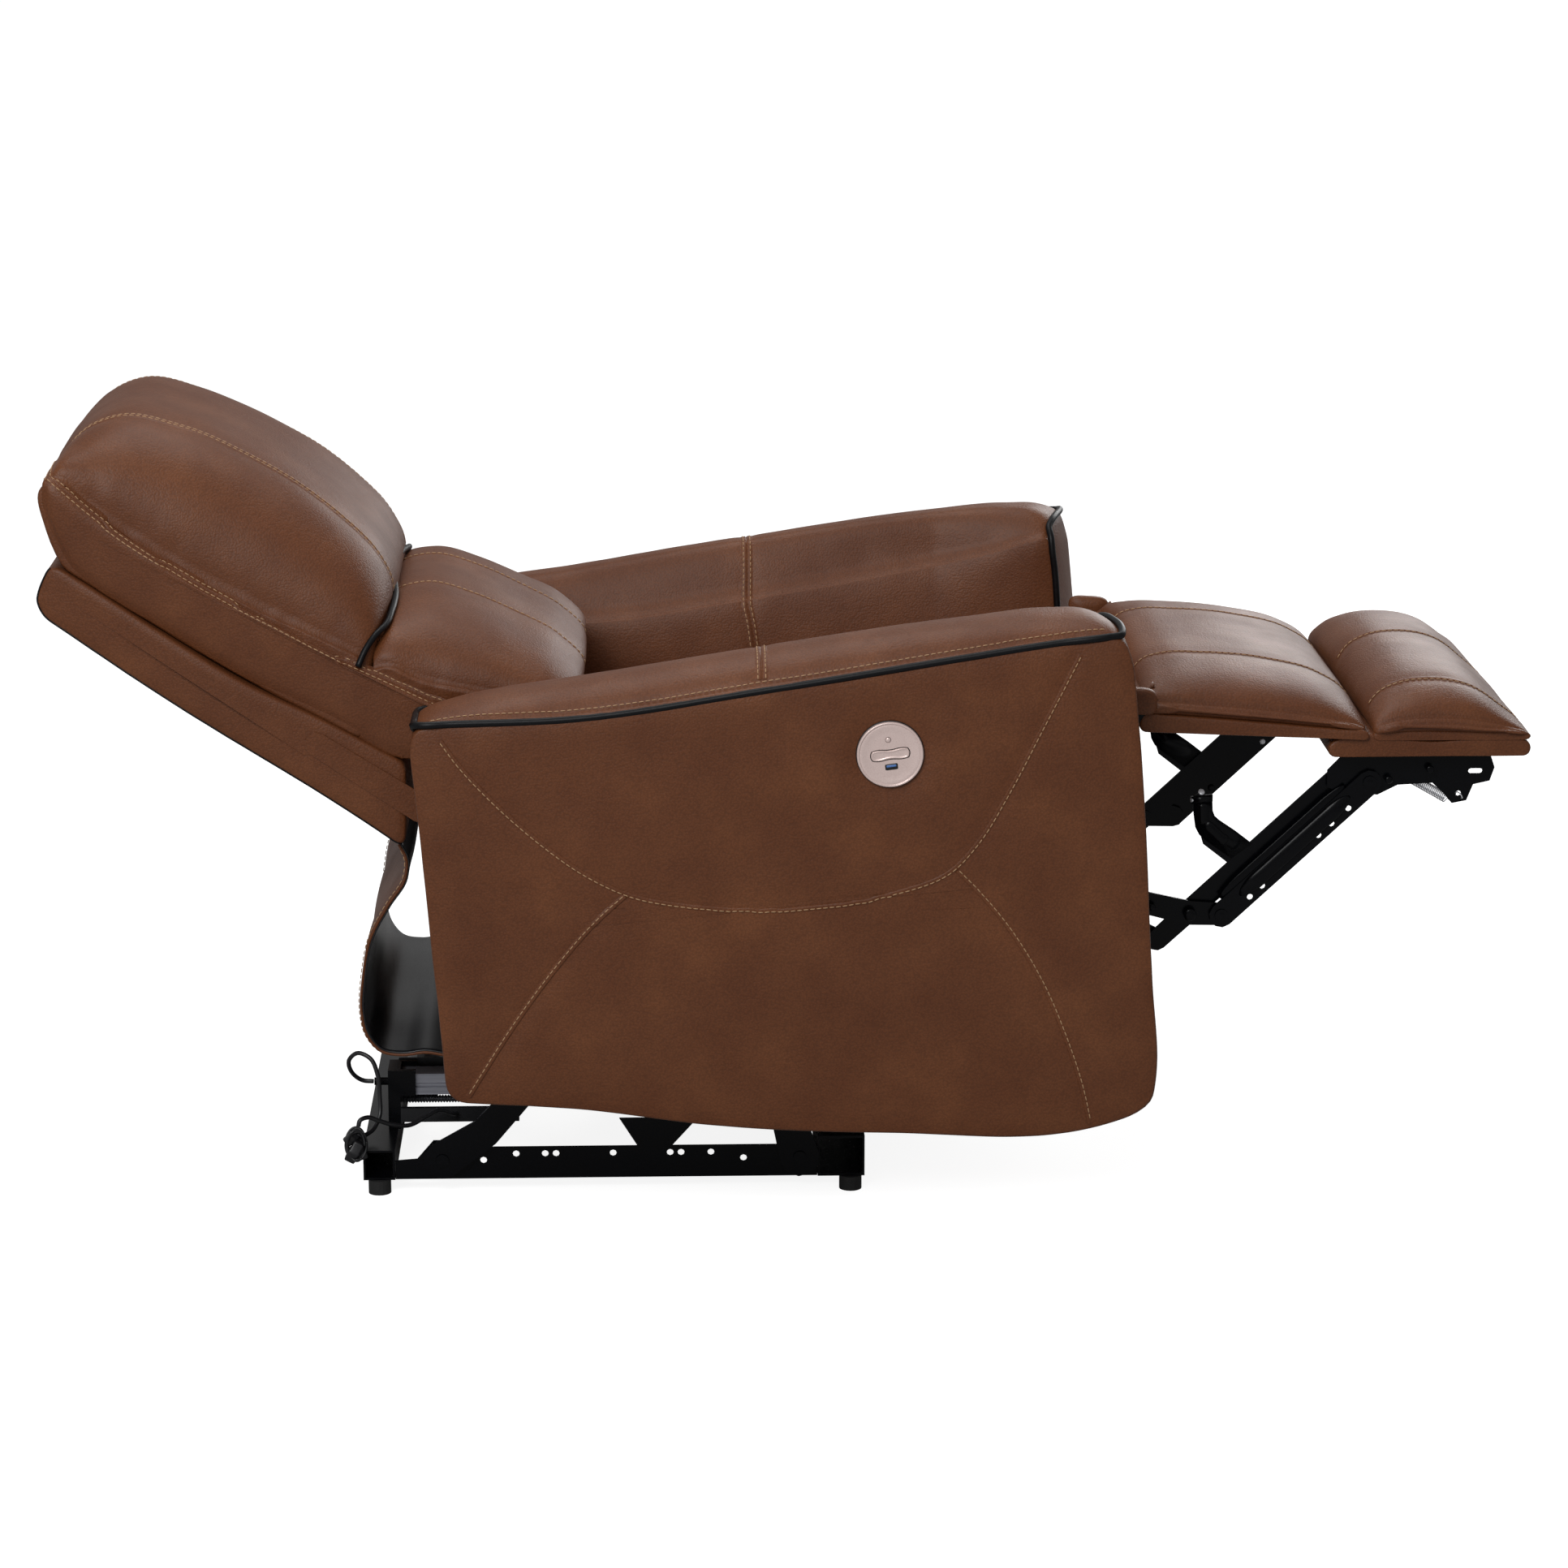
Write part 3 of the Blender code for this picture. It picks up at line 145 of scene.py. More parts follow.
def boxy(half_u, half_v, power_u, power_v, count):
    """Offsets round a box in its two directions. Powers of 1 make an ellipse, smaller ones square it off."""
    u, v = np.cos(round_angles(count)), np.sin(round_angles(count))
    return half_u * np.sign(u) * np.abs(u) ** power_u, half_v * np.sign(v) * np.abs(v) ** power_v


def evenly(line, count):
    """The same line as count points at equal distances along it."""
    line = np.asarray(line, float)
    along = travelled(line)
    return between(np.linspace(0, along[-1], count), along, line)


def smooth_line(points, count):
    """A smooth curve through the points, as count points."""
    p = np.asarray(points, float)
    t = travelled(p)
    slope = np.gradient(p, t, axis=0)
    at = np.linspace(0, t[-1], 30 * len(p))
    i = np.clip(np.searchsorted(t, at, side="right") - 1, 0, len(t) - 2)
    step = (t[i + 1] - t[i])[:, None]
    u = (at - t[i])[:, None] / step
    line = (2 * u**3 - 3 * u**2 + 1) * p[i] + (u**3 - 2 * u**2 + u) * step * slope[i]
    line += (3 * u**2 - 2 * u**3) * p[i + 1] + (u**3 - u**2) * step * slope[i + 1]
    return evenly(line, count)


def softened(ring, passes=3):
    """A closed ring with its corners rounded by averaging neighbours."""
    for _ in range(passes):
        ring = (np.roll(ring, 1, axis=0) + 2 * ring + np.roll(ring, -1, axis=0)) / 4
    return ring


def softened_line(line, passes):
    """An open line with its corners rounded; its ends stay."""
    line = np.array(line, float)
    for _ in range(passes):
        line[1:-1] = (line[:-2] + 2 * line[1:-1] + line[2:]) / 4
    return line


def outline(*pieces):
    """A closed outline from smooth pieces, each (points, count), with soft corners."""
    return softened(np.concatenate([smooth_line(points, count) for points, count in pieces]))


# %% Mesh helpers
def placed(name, mesh, material):
    mesh.shade_smooth()
    mesh.materials.append(material)
    made = bpy.data.objects.new(name, mesh)
    bpy.context.scene.collection.objects.link(made)
    return made


def mesh_object(name, points, faces, material):
    """A smooth-shaded object with doubled points merged and its faces turned outwards."""
    mesh = bpy.data.meshes.new(name)
    mesh.from_pydata([tuple(p) for p in points], [], faces)
    bm = bmesh.new()
    bm.from_mesh(mesh)
    bmesh.ops.remove_doubles(bm, verts=bm.verts, dist=1e-6)
    bmesh.ops.recalc_face_normals(bm, faces=bm.faces)
    bm.to_mesh(mesh)
    bm.free()
    return placed(name, mesh, material)


def grid_faces(rows, columns, closed=True, first=0):
    """The quads between rows of points, each row joined end to start where it is closed."""
    faces = []
    for r in range(rows - 1):
        for c in range(columns - (not closed)):
            a, b = first + r * columns + c, first + r * columns + (c + 1) % columns
            faces.append((a, b, b + columns, a + columns))
    return faces


def loft(name, rings, material, closed=True):
    """A skin over rings of points. Closed rings also get a face at either end."""
    rings = np.asarray(rings, float)
    rows, columns = rings.shape[:2]
    faces = grid_faces(rows, columns, closed)
    if closed:
        faces += [tuple(range(columns))[::-1], tuple(range((rows - 1) * columns, rows * columns))]
    return mesh_object(name, rings.reshape(-1, 3), faces, material)


def thin_shell(name, points, material):
    """A closed sheet with thickness, from the points of its two sides: points[across][side][along]."""
    points = np.asarray(points, float)
    columns, sides, count = points.shape[:3]
    at = np.arange(columns * sides * count).reshape(columns, sides, count).tolist()
    faces = []
    for c in range(columns - 1):
        for side in range(sides):
            for r in range(count - 1):
                quad = [at[c][side][r], at[c][side][r + 1], at[c + 1][side][r + 1], at[c + 1][side][r]]
                faces.append(quad if side else quad[::-1])
        for r in (0, count - 1):
            faces.append([at[c][0][r], at[c][1][r], at[c + 1][1][r], at[c + 1][0][r]])
    for c in (0, columns - 1):
        for r in range(count - 1):
            faces.append([at[c][0][r], at[c][0][r + 1], at[c][1][r + 1], at[c][1][r]])
    return mesh_object(name, points.reshape(-1, 3), faces, material)


def filled_ends(rings, spine, puff, roundness, steps):
    """The rings of a loft across the chair, with both ends rounded over and closed by crowned faces.
    spine is the segment, in x and z, that each end shrinks towards."""
    a, b = (np.array(p, float) for p in spine)
    rings = np.asarray(rings, float)

    def shrunk(ring, share, y):
        flat = ring[:, [0, 2]]
        t = np.clip((flat - a) @ (b - a) / ((b - a) @ (b - a)), 0, 1)[:, None]
        centre = a + t * (b - a)
        flat = centre + (flat - centre) * share
        return np.stack([flat[:, 0], np.full(len(flat), y), flat[:, 1]], axis=1)

    def end(ring, outward):
        y, flat, made = ring[:, 1].mean(), ring[:, [0, 2]], []
        reach = np.linalg.norm(flat - flat.mean(axis=0), axis=1).mean()
        for angle in np.linspace(0, math.pi / 2, 5)[1:]:
            lost = roundness * (1 - math.cos(angle)) / reach
            made.append(shrunk(ring, 1 - lost, y + outward * roundness * math.sin(angle)))
        edge = 1 - roundness / reach
        for share in np.linspace(1, 0.04, steps)[1:]:
            rise = puff * math.sqrt(max(0, 1 - share**5))
            made.append(shrunk(ring, edge * share, y + outward * (roundness + rise)))
        return made

    outward = 1 if rings[-1][:, 1].mean() > rings[0][:, 1].mean() else -1
    return [*end(rings[0], -outward)[::-1], *rings, *end(rings[-1], outward)]


def tube(name, path, radius, material, sides=10):
    """A round mesh tube along a path of points; its ring doesn't twist."""
    path = np.asarray(path, float)
    side, rings = np.cross(unit(np.gradient(path, axis=0))[0], (0.12, 0.31, 0.94)), []
    for point, direction in zip(path, unit(np.gradient(path, axis=0))):
        side = unit(side - direction * (side @ direction))
        rings.append(circle(point, radius, side, np.cross(direction, side), sides))
    return loft(name, rings, material)


def moved(obj, rule):
    """Moves each vertex along its normal by rule(point, normal), in metres."""
    mesh = obj.data
    co, no = (np.zeros(len(mesh.vertices) * 3) for _ in range(2))
    mesh.vertices.foreach_get("co", co)
    mesh.vertices.foreach_get("normal", no)
    co, no = co.reshape(-1, 3), no.reshape(-1, 3)
    mesh.vertices.foreach_set("co", (co + no * np.asarray(rule(co, no))[:, None]).ravel())
    mesh.update()
    return obj


def ripple(points, size, seed):
    """Smooth noise from -1 to 1 whose waves are about size metres long; size may differ per axis."""
    scaled = np.asarray(points) / np.asarray(size) + seed
    return np.array([noise.noise(Vector(p)) for p in scaled])


def away_from(points, line):
    """Each point's distance from a line of close points."""
    line = np.asarray(line, float)
    best = np.full(len(points), np.inf)
    for q in line:
        best = np.minimum(best, ((points - q) ** 2).sum(axis=1))
    return np.sqrt(best)


def joined(name, parts):
    """One object from several of the same material, which are removed."""
    points, faces, start = [], [], 0
    for part in parts:
        points += [part.matrix_world @ v.co for v in part.data.vertices]
        faces += [tuple(start + i for i in f.vertices) for f in part.data.polygons]
        start += len(part.data.vertices)
        material = part.data.materials[0]
        bpy.data.objects.remove(part, do_unlink=True)
    mesh = bpy.data.meshes.new(name)
    mesh.from_pydata(points, [], faces)
    return placed(name, mesh, material)


# %% [markdown]
# ## Seams and stitches
# A topstitched seam in leather is two hides folded under and sewn down, so beside the join lies a low flat
# band with a row of thread on it. It could be a bump texture, but thread catches light as real thread only if
# it is real. Here a narrow ribbon follows the seam over the cushion, and each stitch is a small capsule.

# %% Seam helpers
STITCH, STITCH_GAP, THREAD_R = 5.2 * MM, 1.7 * MM, 0.62 * MM
BEAD_AT = np.array([0, 0.12, 0.5, 0.88, 1.0])  # the places of a stitch's five rings, as shares of its length
ONE_ROW = ((-7.0, -0.3), (-5.6, 0.25), (-3.8, 0.6), (-1.3, 0.9), (-0.2, 0.6), (0.1, -0.25), (1.6, -0.5))
TWO_ROWS = (
    (-7.5, -0.3), (-6.0, 0.25), (-3.6, 0.65), (-1.5, 0.8), (-0.35, 0.15), (0, -0.1),
    (0.35, 0.15), (1.5, 0.8), (3.6, 0.65), (6.0, 0.25), (7.5, -0.3),
)
ROW_AT = 4.1 * MM


def skin_of(*objs):
    """A tree of the objects' evaluated faces, to lay things on."""
    graph = bpy.context.evaluated_depsgraph_get()
    points, faces = [], []
    for obj in objs:
        mesh = obj.evaluated_get(graph).to_mesh()
        faces += [[len(points) + i for i in f.vertices] for f in mesh.polygons]
        points += [obj.matrix_world @ v.co for v in mesh.vertices]
    return BVHTree.FromPolygons(points, faces)


def laid(skin, path, spacing=3 * MM):
    """The path on the skin at that spacing, with the smoothed normals and the sideways directions there."""
    path = np.asarray(path, float)
    path = evenly(path, max(4, round(travelled(path)[-1] / spacing)))
    found = [skin.find_nearest(Vector(p)) for p in path]
    points, normals = (softened_line([hit[k] for hit in found], 4) for k in (0, 1))
    normals = unit(normals)
    return points, normals, unit(np.cross(np.gradient(points, axis=0), normals))


def beside(skin, points, normals, sides, offset, height):
    """Points offset sideways on the skin and lifted off it."""
    spots = points + sides * offset
    on_skin = np.array([skin.find_nearest(Vector(spot))[0] for spot in spots])
    return on_skin + normals * height


def seam_band(name, skin, path, profile, material):
    """A ribbon along a seam, from (offset, height) pairs in millimetres, with its heights drawn enlarged."""
    run = laid(skin, path)
    rows = [beside(skin, *run, o * MM, (1.35 * h if h > 0 else h) * MM) for o, h in profile]
    return loft(name, rows, material, closed=False)


def stitch_row(name, skin, path, offset, material, height=1.0 * MM):
    """A row of thread: each stitch is a short six-sided bead that dips at its ends."""
    points, normals, sides = laid(skin, path)
    line = beside(skin, points, normals, sides, offset, height)
    along, beads, faces = travelled(line), [], []
    for start in np.arange(STITCH_GAP, along[-1] - STITCH, STITCH + STITCH_GAP):
        spine = between(start + BEAD_AT * STITCH, along, line)
        n = between(start, along, normals)
        side, first = np.cross(unit(spine[-1] - spine[0]), n), len(beads)
        for centre, r, sink in zip(spine, (0.35, 0.9, 1.0, 0.9, 0.35), (0.5, 0.1, 0, 0.1, 0.5)):
            beads += list(circle(centre - n * sink * THREAD_R, THREAD_R * r, side, n, 6))
        faces += grid_faces(5, 6, True, first)
        faces += [tuple(range(first + 5, first - 1, -1)), tuple(range(first + 24, first + 30))]
    return mesh_object(name, beads, faces, material)


# %% [markdown]
# ## Finishes
# Each finish starts from what the real material is. One small function adds a node: a lower-case key is a
# setting of the node, any other key is an input, and an input given a socket is linked to it.


# %% Material helpers
def linear(colour):
    """An sRGB hex colour as the linear values that a node takes."""
    parts = [int(colour[i : i + 2], 16) / 255 for i in (1, 3, 5)]
    return (*[c / 12.92 if c <= 0.04045 else ((c + 0.055) / 1.055) ** 2.4 for c in parts], 1)


def add(tree, kind, settings, out=0):
    made = tree.nodes.new("ShaderNode" + kind)
    for key, value in settings.items():
        if isinstance(key, str) and key.islower():
            setattr(made, key, value)
        elif isinstance(value, bpy.types.NodeSocket):
            tree.links.new(value, made.inputs[key])
        else:
            made.inputs[key].default_value = value
    return made.outputs[out]


def finish_of(name, settings):
    """A new material's node tree and its shader, with the shader's plain settings made."""
    made = bpy.data.materials.new(name)
    made.use_nodes = True
    shader = made.node_tree.nodes["Principled BSDF"]
    for key, value in settings.items():
        shader.inputs[key].default_value = value
    return made, made.node_tree, shader


def ramp(tree, factor, stops):
    """A colour ramp whose stops are (place, hex colour)."""
    made = tree.nodes.new("ShaderNodeValToRGB")
    tree.links.new(factor, made.inputs[0])
    elements = made.color_ramp.elements
    while len(elements) < len(stops):
        elements.new(0.5)
    for element, (place, colour) in zip(elements, stops):
        element.position = place
        element.color = linear(colour)
    return made.outputs[0]


def per_metre(size_mm):
    """The scale of a texture whose features are to be that many millimetres."""
    return 1000 / size_mm


# %% [markdown]
# ### Leather
# The cover is pigmented cowhide: a pebbled grain pressed into the hide, finer creases that run one way,
# and a colour that is a little uneven where the pigment lies thinner. Real pebbles are about 1 mm; they
# are drawn at 2.2 mm here, because finer ones don't show. The topcoat is satin, so that faces turned up
# to the light go a pale mauve brown.


# %% Leather
def leather(name, deep, middle, light, grain_mm=2.2, rough=0.50, bump=0.6):
    topcoat = {"Specular IOR Level": 0.28, "Coat Weight": 0.03, "Coat Roughness": 0.28}
    made, tree, shader = finish_of(name, topcoat)
    place = add(tree, "TexCoord", {}, "Object")
    warp = add(tree, "TexNoise", {"Vector": place, "Scale": per_metre(9), "Detail": 2}, "Color")
    bent = add(tree, "MixRGB", {"blend_type": "LINEAR_LIGHT", "Fac": 0.0012, "Color1": place, "Color2": warp})
    grain = {"Vector": bent, "Scale": per_metre(grain_mm), "feature": "SMOOTH_F1", "Smoothness": 0.4}
    pebble = add(tree, "TexVoronoi", grain)
    stretched = add(tree, "Mapping", {"Vector": place, "Scale": (1, 1, 3.2)})
    creases = {"Vector": stretched, "Scale": per_metre(7), "Detail": 4, "Roughness": 0.65}
    crease = add(tree, "TexNoise", creases)
    patches = add(tree, "TexNoise", {"Vector": place, "Scale": per_metre(95), "Detail": 3, "Roughness": 0.6})
    tone = ramp(tree, patches, ((0.30, deep), (0.52, middle), (0.72, light)))
    # Painted shade: the colour is darkened in the valleys between the pebbles.
    valley_shade_range = {"Value": pebble, "From Min": 0.1, "From Max": 0.75, "To Min": 1.06, "To Max": 0.80}
    painted_valley_shade = add(tree, "MapRange", valley_shade_range)
    shaded = add(tree, "MixRGB", {"blend_type": "MULTIPLY", "Fac": 1.0, "Color1": tone, "Color2": painted_valley_shade})
    # Painted shade: the colour is darker along the low creases and lighter on their ridges.
    crease_shade_range = {"Value": crease, "From Min": 0.3, "From Max": 0.7, "To Min": 0.93, "To Max": 1.06}
    painted_crease_shade = add(tree, "MapRange", crease_shade_range)
    colour_with_painted_shade = add(tree, "MixRGB", {"blend_type": "MULTIPLY", "Fac": 1.0, "Color1": shaded, "Color2": painted_crease_shade})
    tree.links.new(colour_with_painted_shade, shader.inputs["Base Color"])
    wear = {"Value": patches, "From Min": 0.3, "From Max": 0.7}
    gloss = add(tree, "MapRange", {**wear, "To Min": rough + 0.05, "To Max": rough - 0.04})
    tree.links.new(gloss, shader.inputs["Roughness"])
    low = add(tree, "Math", {"operation": "MULTIPLY", 0: pebble, 1: -1.0})
    height = add(tree, "Math", {"operation": "MULTIPLY_ADD", 0: crease, 1: 0.9, 2: low})
    normal = add(tree, "Bump", {"Strength": bump, "Distance": 0.5 * MM, "Height": height})
    tree.links.new(normal, shader.inputs["Normal"])
    return made


LEATHER = leather("brown_cowhide", "#5C3117", "#64381D", "#6E4023")
print("leather with", len(LEATHER.node_tree.nodes), "nodes")

# %% [markdown]
# ### The small soft things
# The piping is a cord in black vinyl, smoother than the hide. The thread is bonded polyester in tan, whose
# two twisted plies show as fine slanting ribs. The lining behind the back flap is black nonwoven cloth.


# %% Piping, thread and lining
def noisy(
    name, dark, light, size_mm, rough, bump_mm, stretch=(1, 1, 1), strength=0.5, metallic=0.0, specular=0.5
):
    """A finish with uneven colour, roughness and height from one stretched noise."""
    made, tree, shader = finish_of(name, {"Metallic": metallic, "Specular IOR Level": specular})
    place = add(tree, "TexCoord", {}, "Object")
    stretched = add(tree, "Mapping", {"Vector": place, "Scale": stretch})
    waves = {"Vector": stretched, "Scale": per_metre(size_mm), "Detail": 5, "Roughness": 0.6}
    grain = add(tree, "TexNoise", waves)
    tree.links.new(ramp(tree, grain, ((0.32, dark), (0.68, light))), shader.inputs["Base Color"])
    wear = {"Value": grain, "From Min": 0.3, "From Max": 0.7, "To Min": rough * 0.85, "To Max": rough * 1.15}
    tree.links.new(add(tree, "MapRange", wear), shader.inputs["Roughness"])
    normal = add(tree, "Bump", {"Strength": strength, "Distance": bump_mm * MM, "Height": grain})
    tree.links.new(normal, shader.inputs["Normal"])
    return made


PIPING = noisy("black_vinyl_piping", "#040406", "#0A0A0D", 3, 0.42, 0.15, specular=0.2)
THREAD = noisy("tan_polyester_thread", "#93704F", "#B8946F", 0.9, 0.62, 0.2, stretch=(1, 1, 1.6))
LINING = noisy("black_glazed_cloth", "#08090B", "#131418", 1.4, 0.34, 0.3)

# %% [markdown]
# ### Metals, plastics and rubber
# The mechanism is pressed steel under black powder coat, which is glossy and slightly wavy like orange
# peel. Screws and springs are bright zinc, the actuator's channel is extruded aluminium with lines along
# it, and the switch plate is satin champagne metal. Housings are moulded plastic with a fine spark-eroded
# texture.

# %% Metals, plastics and rubber
STEEL = noisy("black_powder_coat", "#020203", "#05060A", 2.4, 0.24, 0.10, strength=0.3, specular=0.14)
ZINC = noisy("bright_zinc_plate", "#C4C6CB", "#DFE0E4", 1.8, 0.26, 0.05, metallic=0.5)
DRAWN = (0.03, 1, 1)  # extrusion lines run along x
ALUMINIUM = noisy("extruded_aluminium", "#8E909A", "#B5B6C0", 2.5, 0.34, 0.08, stretch=DRAWN, metallic=0.5)
CHAMPAGNE = noisy("satin_champagne_metal", "#D6BFB9", "#E2CDC7", 1.2, 0.32, 0.02, metallic=0.3)
PLASTIC = noisy("black_moulded_plastic", "#0B0B0D", "#141418", 1.1, 0.42, 0.08)
RUBBER = noisy("black_rubber", "#0C0C0C", "#181818", 1.5, 0.75, 0.15)
SCREW = noisy("rolled_screw_steel", "#26272A", "#5A5B60", 2.0, 0.32, 0.1, metallic=0.5)
BLUE = noisy("blue_socket_tongue", "#3E68AC", "#5F86C4", 1.0, 0.35, 0.03)
print(len(bpy.data.materials), "finishes")

# %% [markdown]
# ## Studio
# The strongest of three soft lights stands high on the camera's side. A weaker one behind the chair edges its
# far side, and the weakest hangs overhead. The floor and the background are white paper. The background is
# pure white only to the camera: it lights the chair with a third of that, and reflections see a little more.
# The floor glows to the camera too, which leaves only a faint shadow on it.


# %% Studio
def area_light(name, place, target, size, watts):
    light = bpy.data.lights.new(name, "AREA")
    light.shape, light.size, light.energy = "SQUARE", size, watts
    made = bpy.data.objects.new(name, light)
    bpy.context.scene.collection.objects.link(made)
    made.location = place
    made.rotation_euler = (Vector(target) - Vector(place)).to_track_quat("-Z", "Y").to_euler()
    print(name, watts, "W")


MIDDLE = (0, 0, 0.4)
area_light("overhead_softbox", (-0.3, 0.5, 3.2), MIDDLE, 1.9, 34)
area_light("camera_softbox", (-1.5, -3.8, 3.1), MIDDLE, 2.1, 128)
area_light("rear_softbox", (1.8, 3.2, 1.9), MIDDLE, 1.9, 50)

# %% Background and floor
SKY_LIGHT, SKY_SEEN, SKY_SHINE = 0.30, 1.0, 0.06  # the background as light, as seen, and added in reflections
FLOOR_HALF, FLOOR_GLOW = 30, 0.88
world = bpy.data.worlds.new("white_studio")
bpy.context.scene.world = world
world.use_nodes = True
sky = world.node_tree
rays = add(sky, "LightPath", {}, "Is Camera Ray")
shiny = sky.nodes["Light Path"].outputs["Is Glossy Ray"]
clear = sky.nodes["Light Path"].outputs["Is Transmission Ray"]
seen = add(sky, "Math", {"operation": "MAXIMUM", 0: rays, 1: clear})
level = add(sky, "MapRange", {"Value": seen, "To Min": SKY_LIGHT, "To Max": SKY_SEEN})
level = add(sky, "Math", {"operation": "MULTIPLY_ADD", 0: shiny, 1: SKY_SHINE, 2: level})
background = sky.nodes["Background"]
background.inputs["Color"].default_value = linear("#FFFFFF")
sky.links.new(level, background.inputs["Strength"])

PAPER = {"Base Color": linear("#B4B4B4"), "Roughness": 0.9, "Specular IOR Level": 0.1}
floor_paper, paper_tree, paper = finish_of("white_paper", PAPER)
rays = add(paper_tree, "LightPath", {}, "Is Camera Ray")
glow = add(paper_tree, "Math", {"operation": "MULTIPLY", 0: rays, 1: FLOOR_GLOW})
paper.inputs["Emission Color"].default_value = linear("#FFFFFF")
paper_tree.links.new(glow, paper.inputs["Emission Strength"])
corners = [(x, y, 0) for x, y in ((-1, -1), (1, -1), (1, 1), (-1, 1))]
floor = mesh_object("studio_floor", [Vector(c) * FLOOR_HALF for c in corners], [(0, 1, 2, 3)], floor_paper)
floor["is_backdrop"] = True
bpy.context.scene.view_settings.view_transform = "Standard"


# %% [markdown]
# ## Arms
# An arm is a board frame under foam, covered by four hides: the outer side, the crown over the top, the front
# and the inner side. Black piping follows the outer top edge, turns over the crown's front and runs down the
# front's inner edge. The outline below is the side as it is cut; across the arm the top rises from that edge
# to the crown, and the front is drawn back towards the sitter.

# %% The arm's outline and rise
ARM_TOP = (  # x, height of the piped edge, height of the crown
    (-0.404, 0.553, 0.553), (-0.385, 0.557, 0.566), (-0.361, 0.558, 0.574), (-0.238, 0.562, 0.596),
    (-0.029, 0.592, 0.630), (0.189, 0.627, 0.661), (0.280, 0.641, 0.668), (0.328, 0.647, 0.664),
    (0.346, 0.645, 0.654), (0.3535, 0.630, 0.632),
)
ARM_FRONT = ((0.357, 0.622), (0.3645, 0.551), (0.3825, 0.285), (0.388, 0.160), (0.384, 0.136))
ARM_UNDER = (
    (0.366, 0.126), (0.324, 0.113), (0.106, 0.108), (-0.069, 0.117), (-0.243, 0.139), (-0.362, 0.147),
)
ARM_REAR = ((-0.371, 0.156), (-0.390, 0.381), (-0.404, 0.535))
arm_low, arm_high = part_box("arm_left")
ARM_INNER, ARM_OUTER = arm_low.y, arm_high.y
ARM_WIDTH = ARM_OUTER - ARM_INNER
PIPE_R = 4 * MM
SIDE_PUFF = 3.5 * MM
FRONT_PULL = 27 * MM  # how far the front is drawn back at the arm's inner side
INNER_LEAN = 22 * MM  # how far the inner side's top leans away from the sitter
SIDE_SPINE = ((-0.24, 0.35), (0.20, 0.37))


def crown_share(u):
    """How much of the crown's rise the top has, at a share u of the arm's width from its inner side."""
    if u < 0.42:
        return 1 - 2.6 * (1 - u / 0.42) ** 3.2
    return (1 - max(0, (u - 0.45) / 0.53) ** 2.6) ** 0.62 if u < 0.98 else 0


def front_pull(u):
    """How far the arm's front is drawn back at a share u of its width."""
    return FRONT_PULL * (1 - u) ** 2


def arm_ring(u, side):
    share = crown_share(u)
    top = [(x, edge + (crown - edge) * share) for x, edge, crown in ARM_TOP]
    flat = outline((top, 150), (ARM_FRONT, 84), (ARM_UNDER, 120), (ARM_REAR, 70))
    x = flat[:, 0] - front_pull(u) * np.clip((flat[:, 0] - 0.2) / 0.15, 0, 1)
    return np.stack([x, np.full(len(x), side * (ARM_INNER + u * ARM_WIDTH)), flat[:, 1]], axis=1)


ARM_STATIONS = np.concatenate([np.linspace(0.05, 0.85, 22), np.linspace(0.87, 0.96, 8)])

# %% [markdown]
# ### The side's seams
# A curved seam swings across the side below the switch, and two more run from it to the lower corners.
# The hide is pulled in a little along each, and round the switch plate, which a nut behind it draws into
# the foam.

# %% The side's seams
SIDE_SEAM = (
    (-0.369, 0.546), (-0.348, 0.517), (-0.323, 0.489), (-0.289, 0.456), (-0.2555, 0.4275), (-0.2216, 0.403),
    (-0.173, 0.3785), (-0.110, 0.366), (-0.050, 0.3615), (0.0185, 0.363), (0.1045, 0.378), (0.167, 0.4035),
    (0.190, 0.429), (0.224, 0.486), (0.257, 0.552), (0.298, 0.634),
)
REAR_SEAM = (
    (-0.177, 0.373), (-0.205, 0.348), (-0.240, 0.308), (-0.275, 0.262), (-0.310, 0.210), (-0.345, 0.153),
)
FRONT_SEAM = (
    (0.171, 0.3985), (0.191, 0.3777), (0.2256, 0.3355), (0.261, 0.277), (0.288, 0.2137), (0.306, 0.159),
    (0.3155, 0.117),
)
plate_low, plate_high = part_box("control_disc")
SWITCH = (plate_low + plate_high) / 2
SWITCH_R = (plate_high.x - plate_low.x) / 2


def on_side(points, side):
    return [(x, side * (ARM_OUTER + 2 * MM), z) for x, z in points]


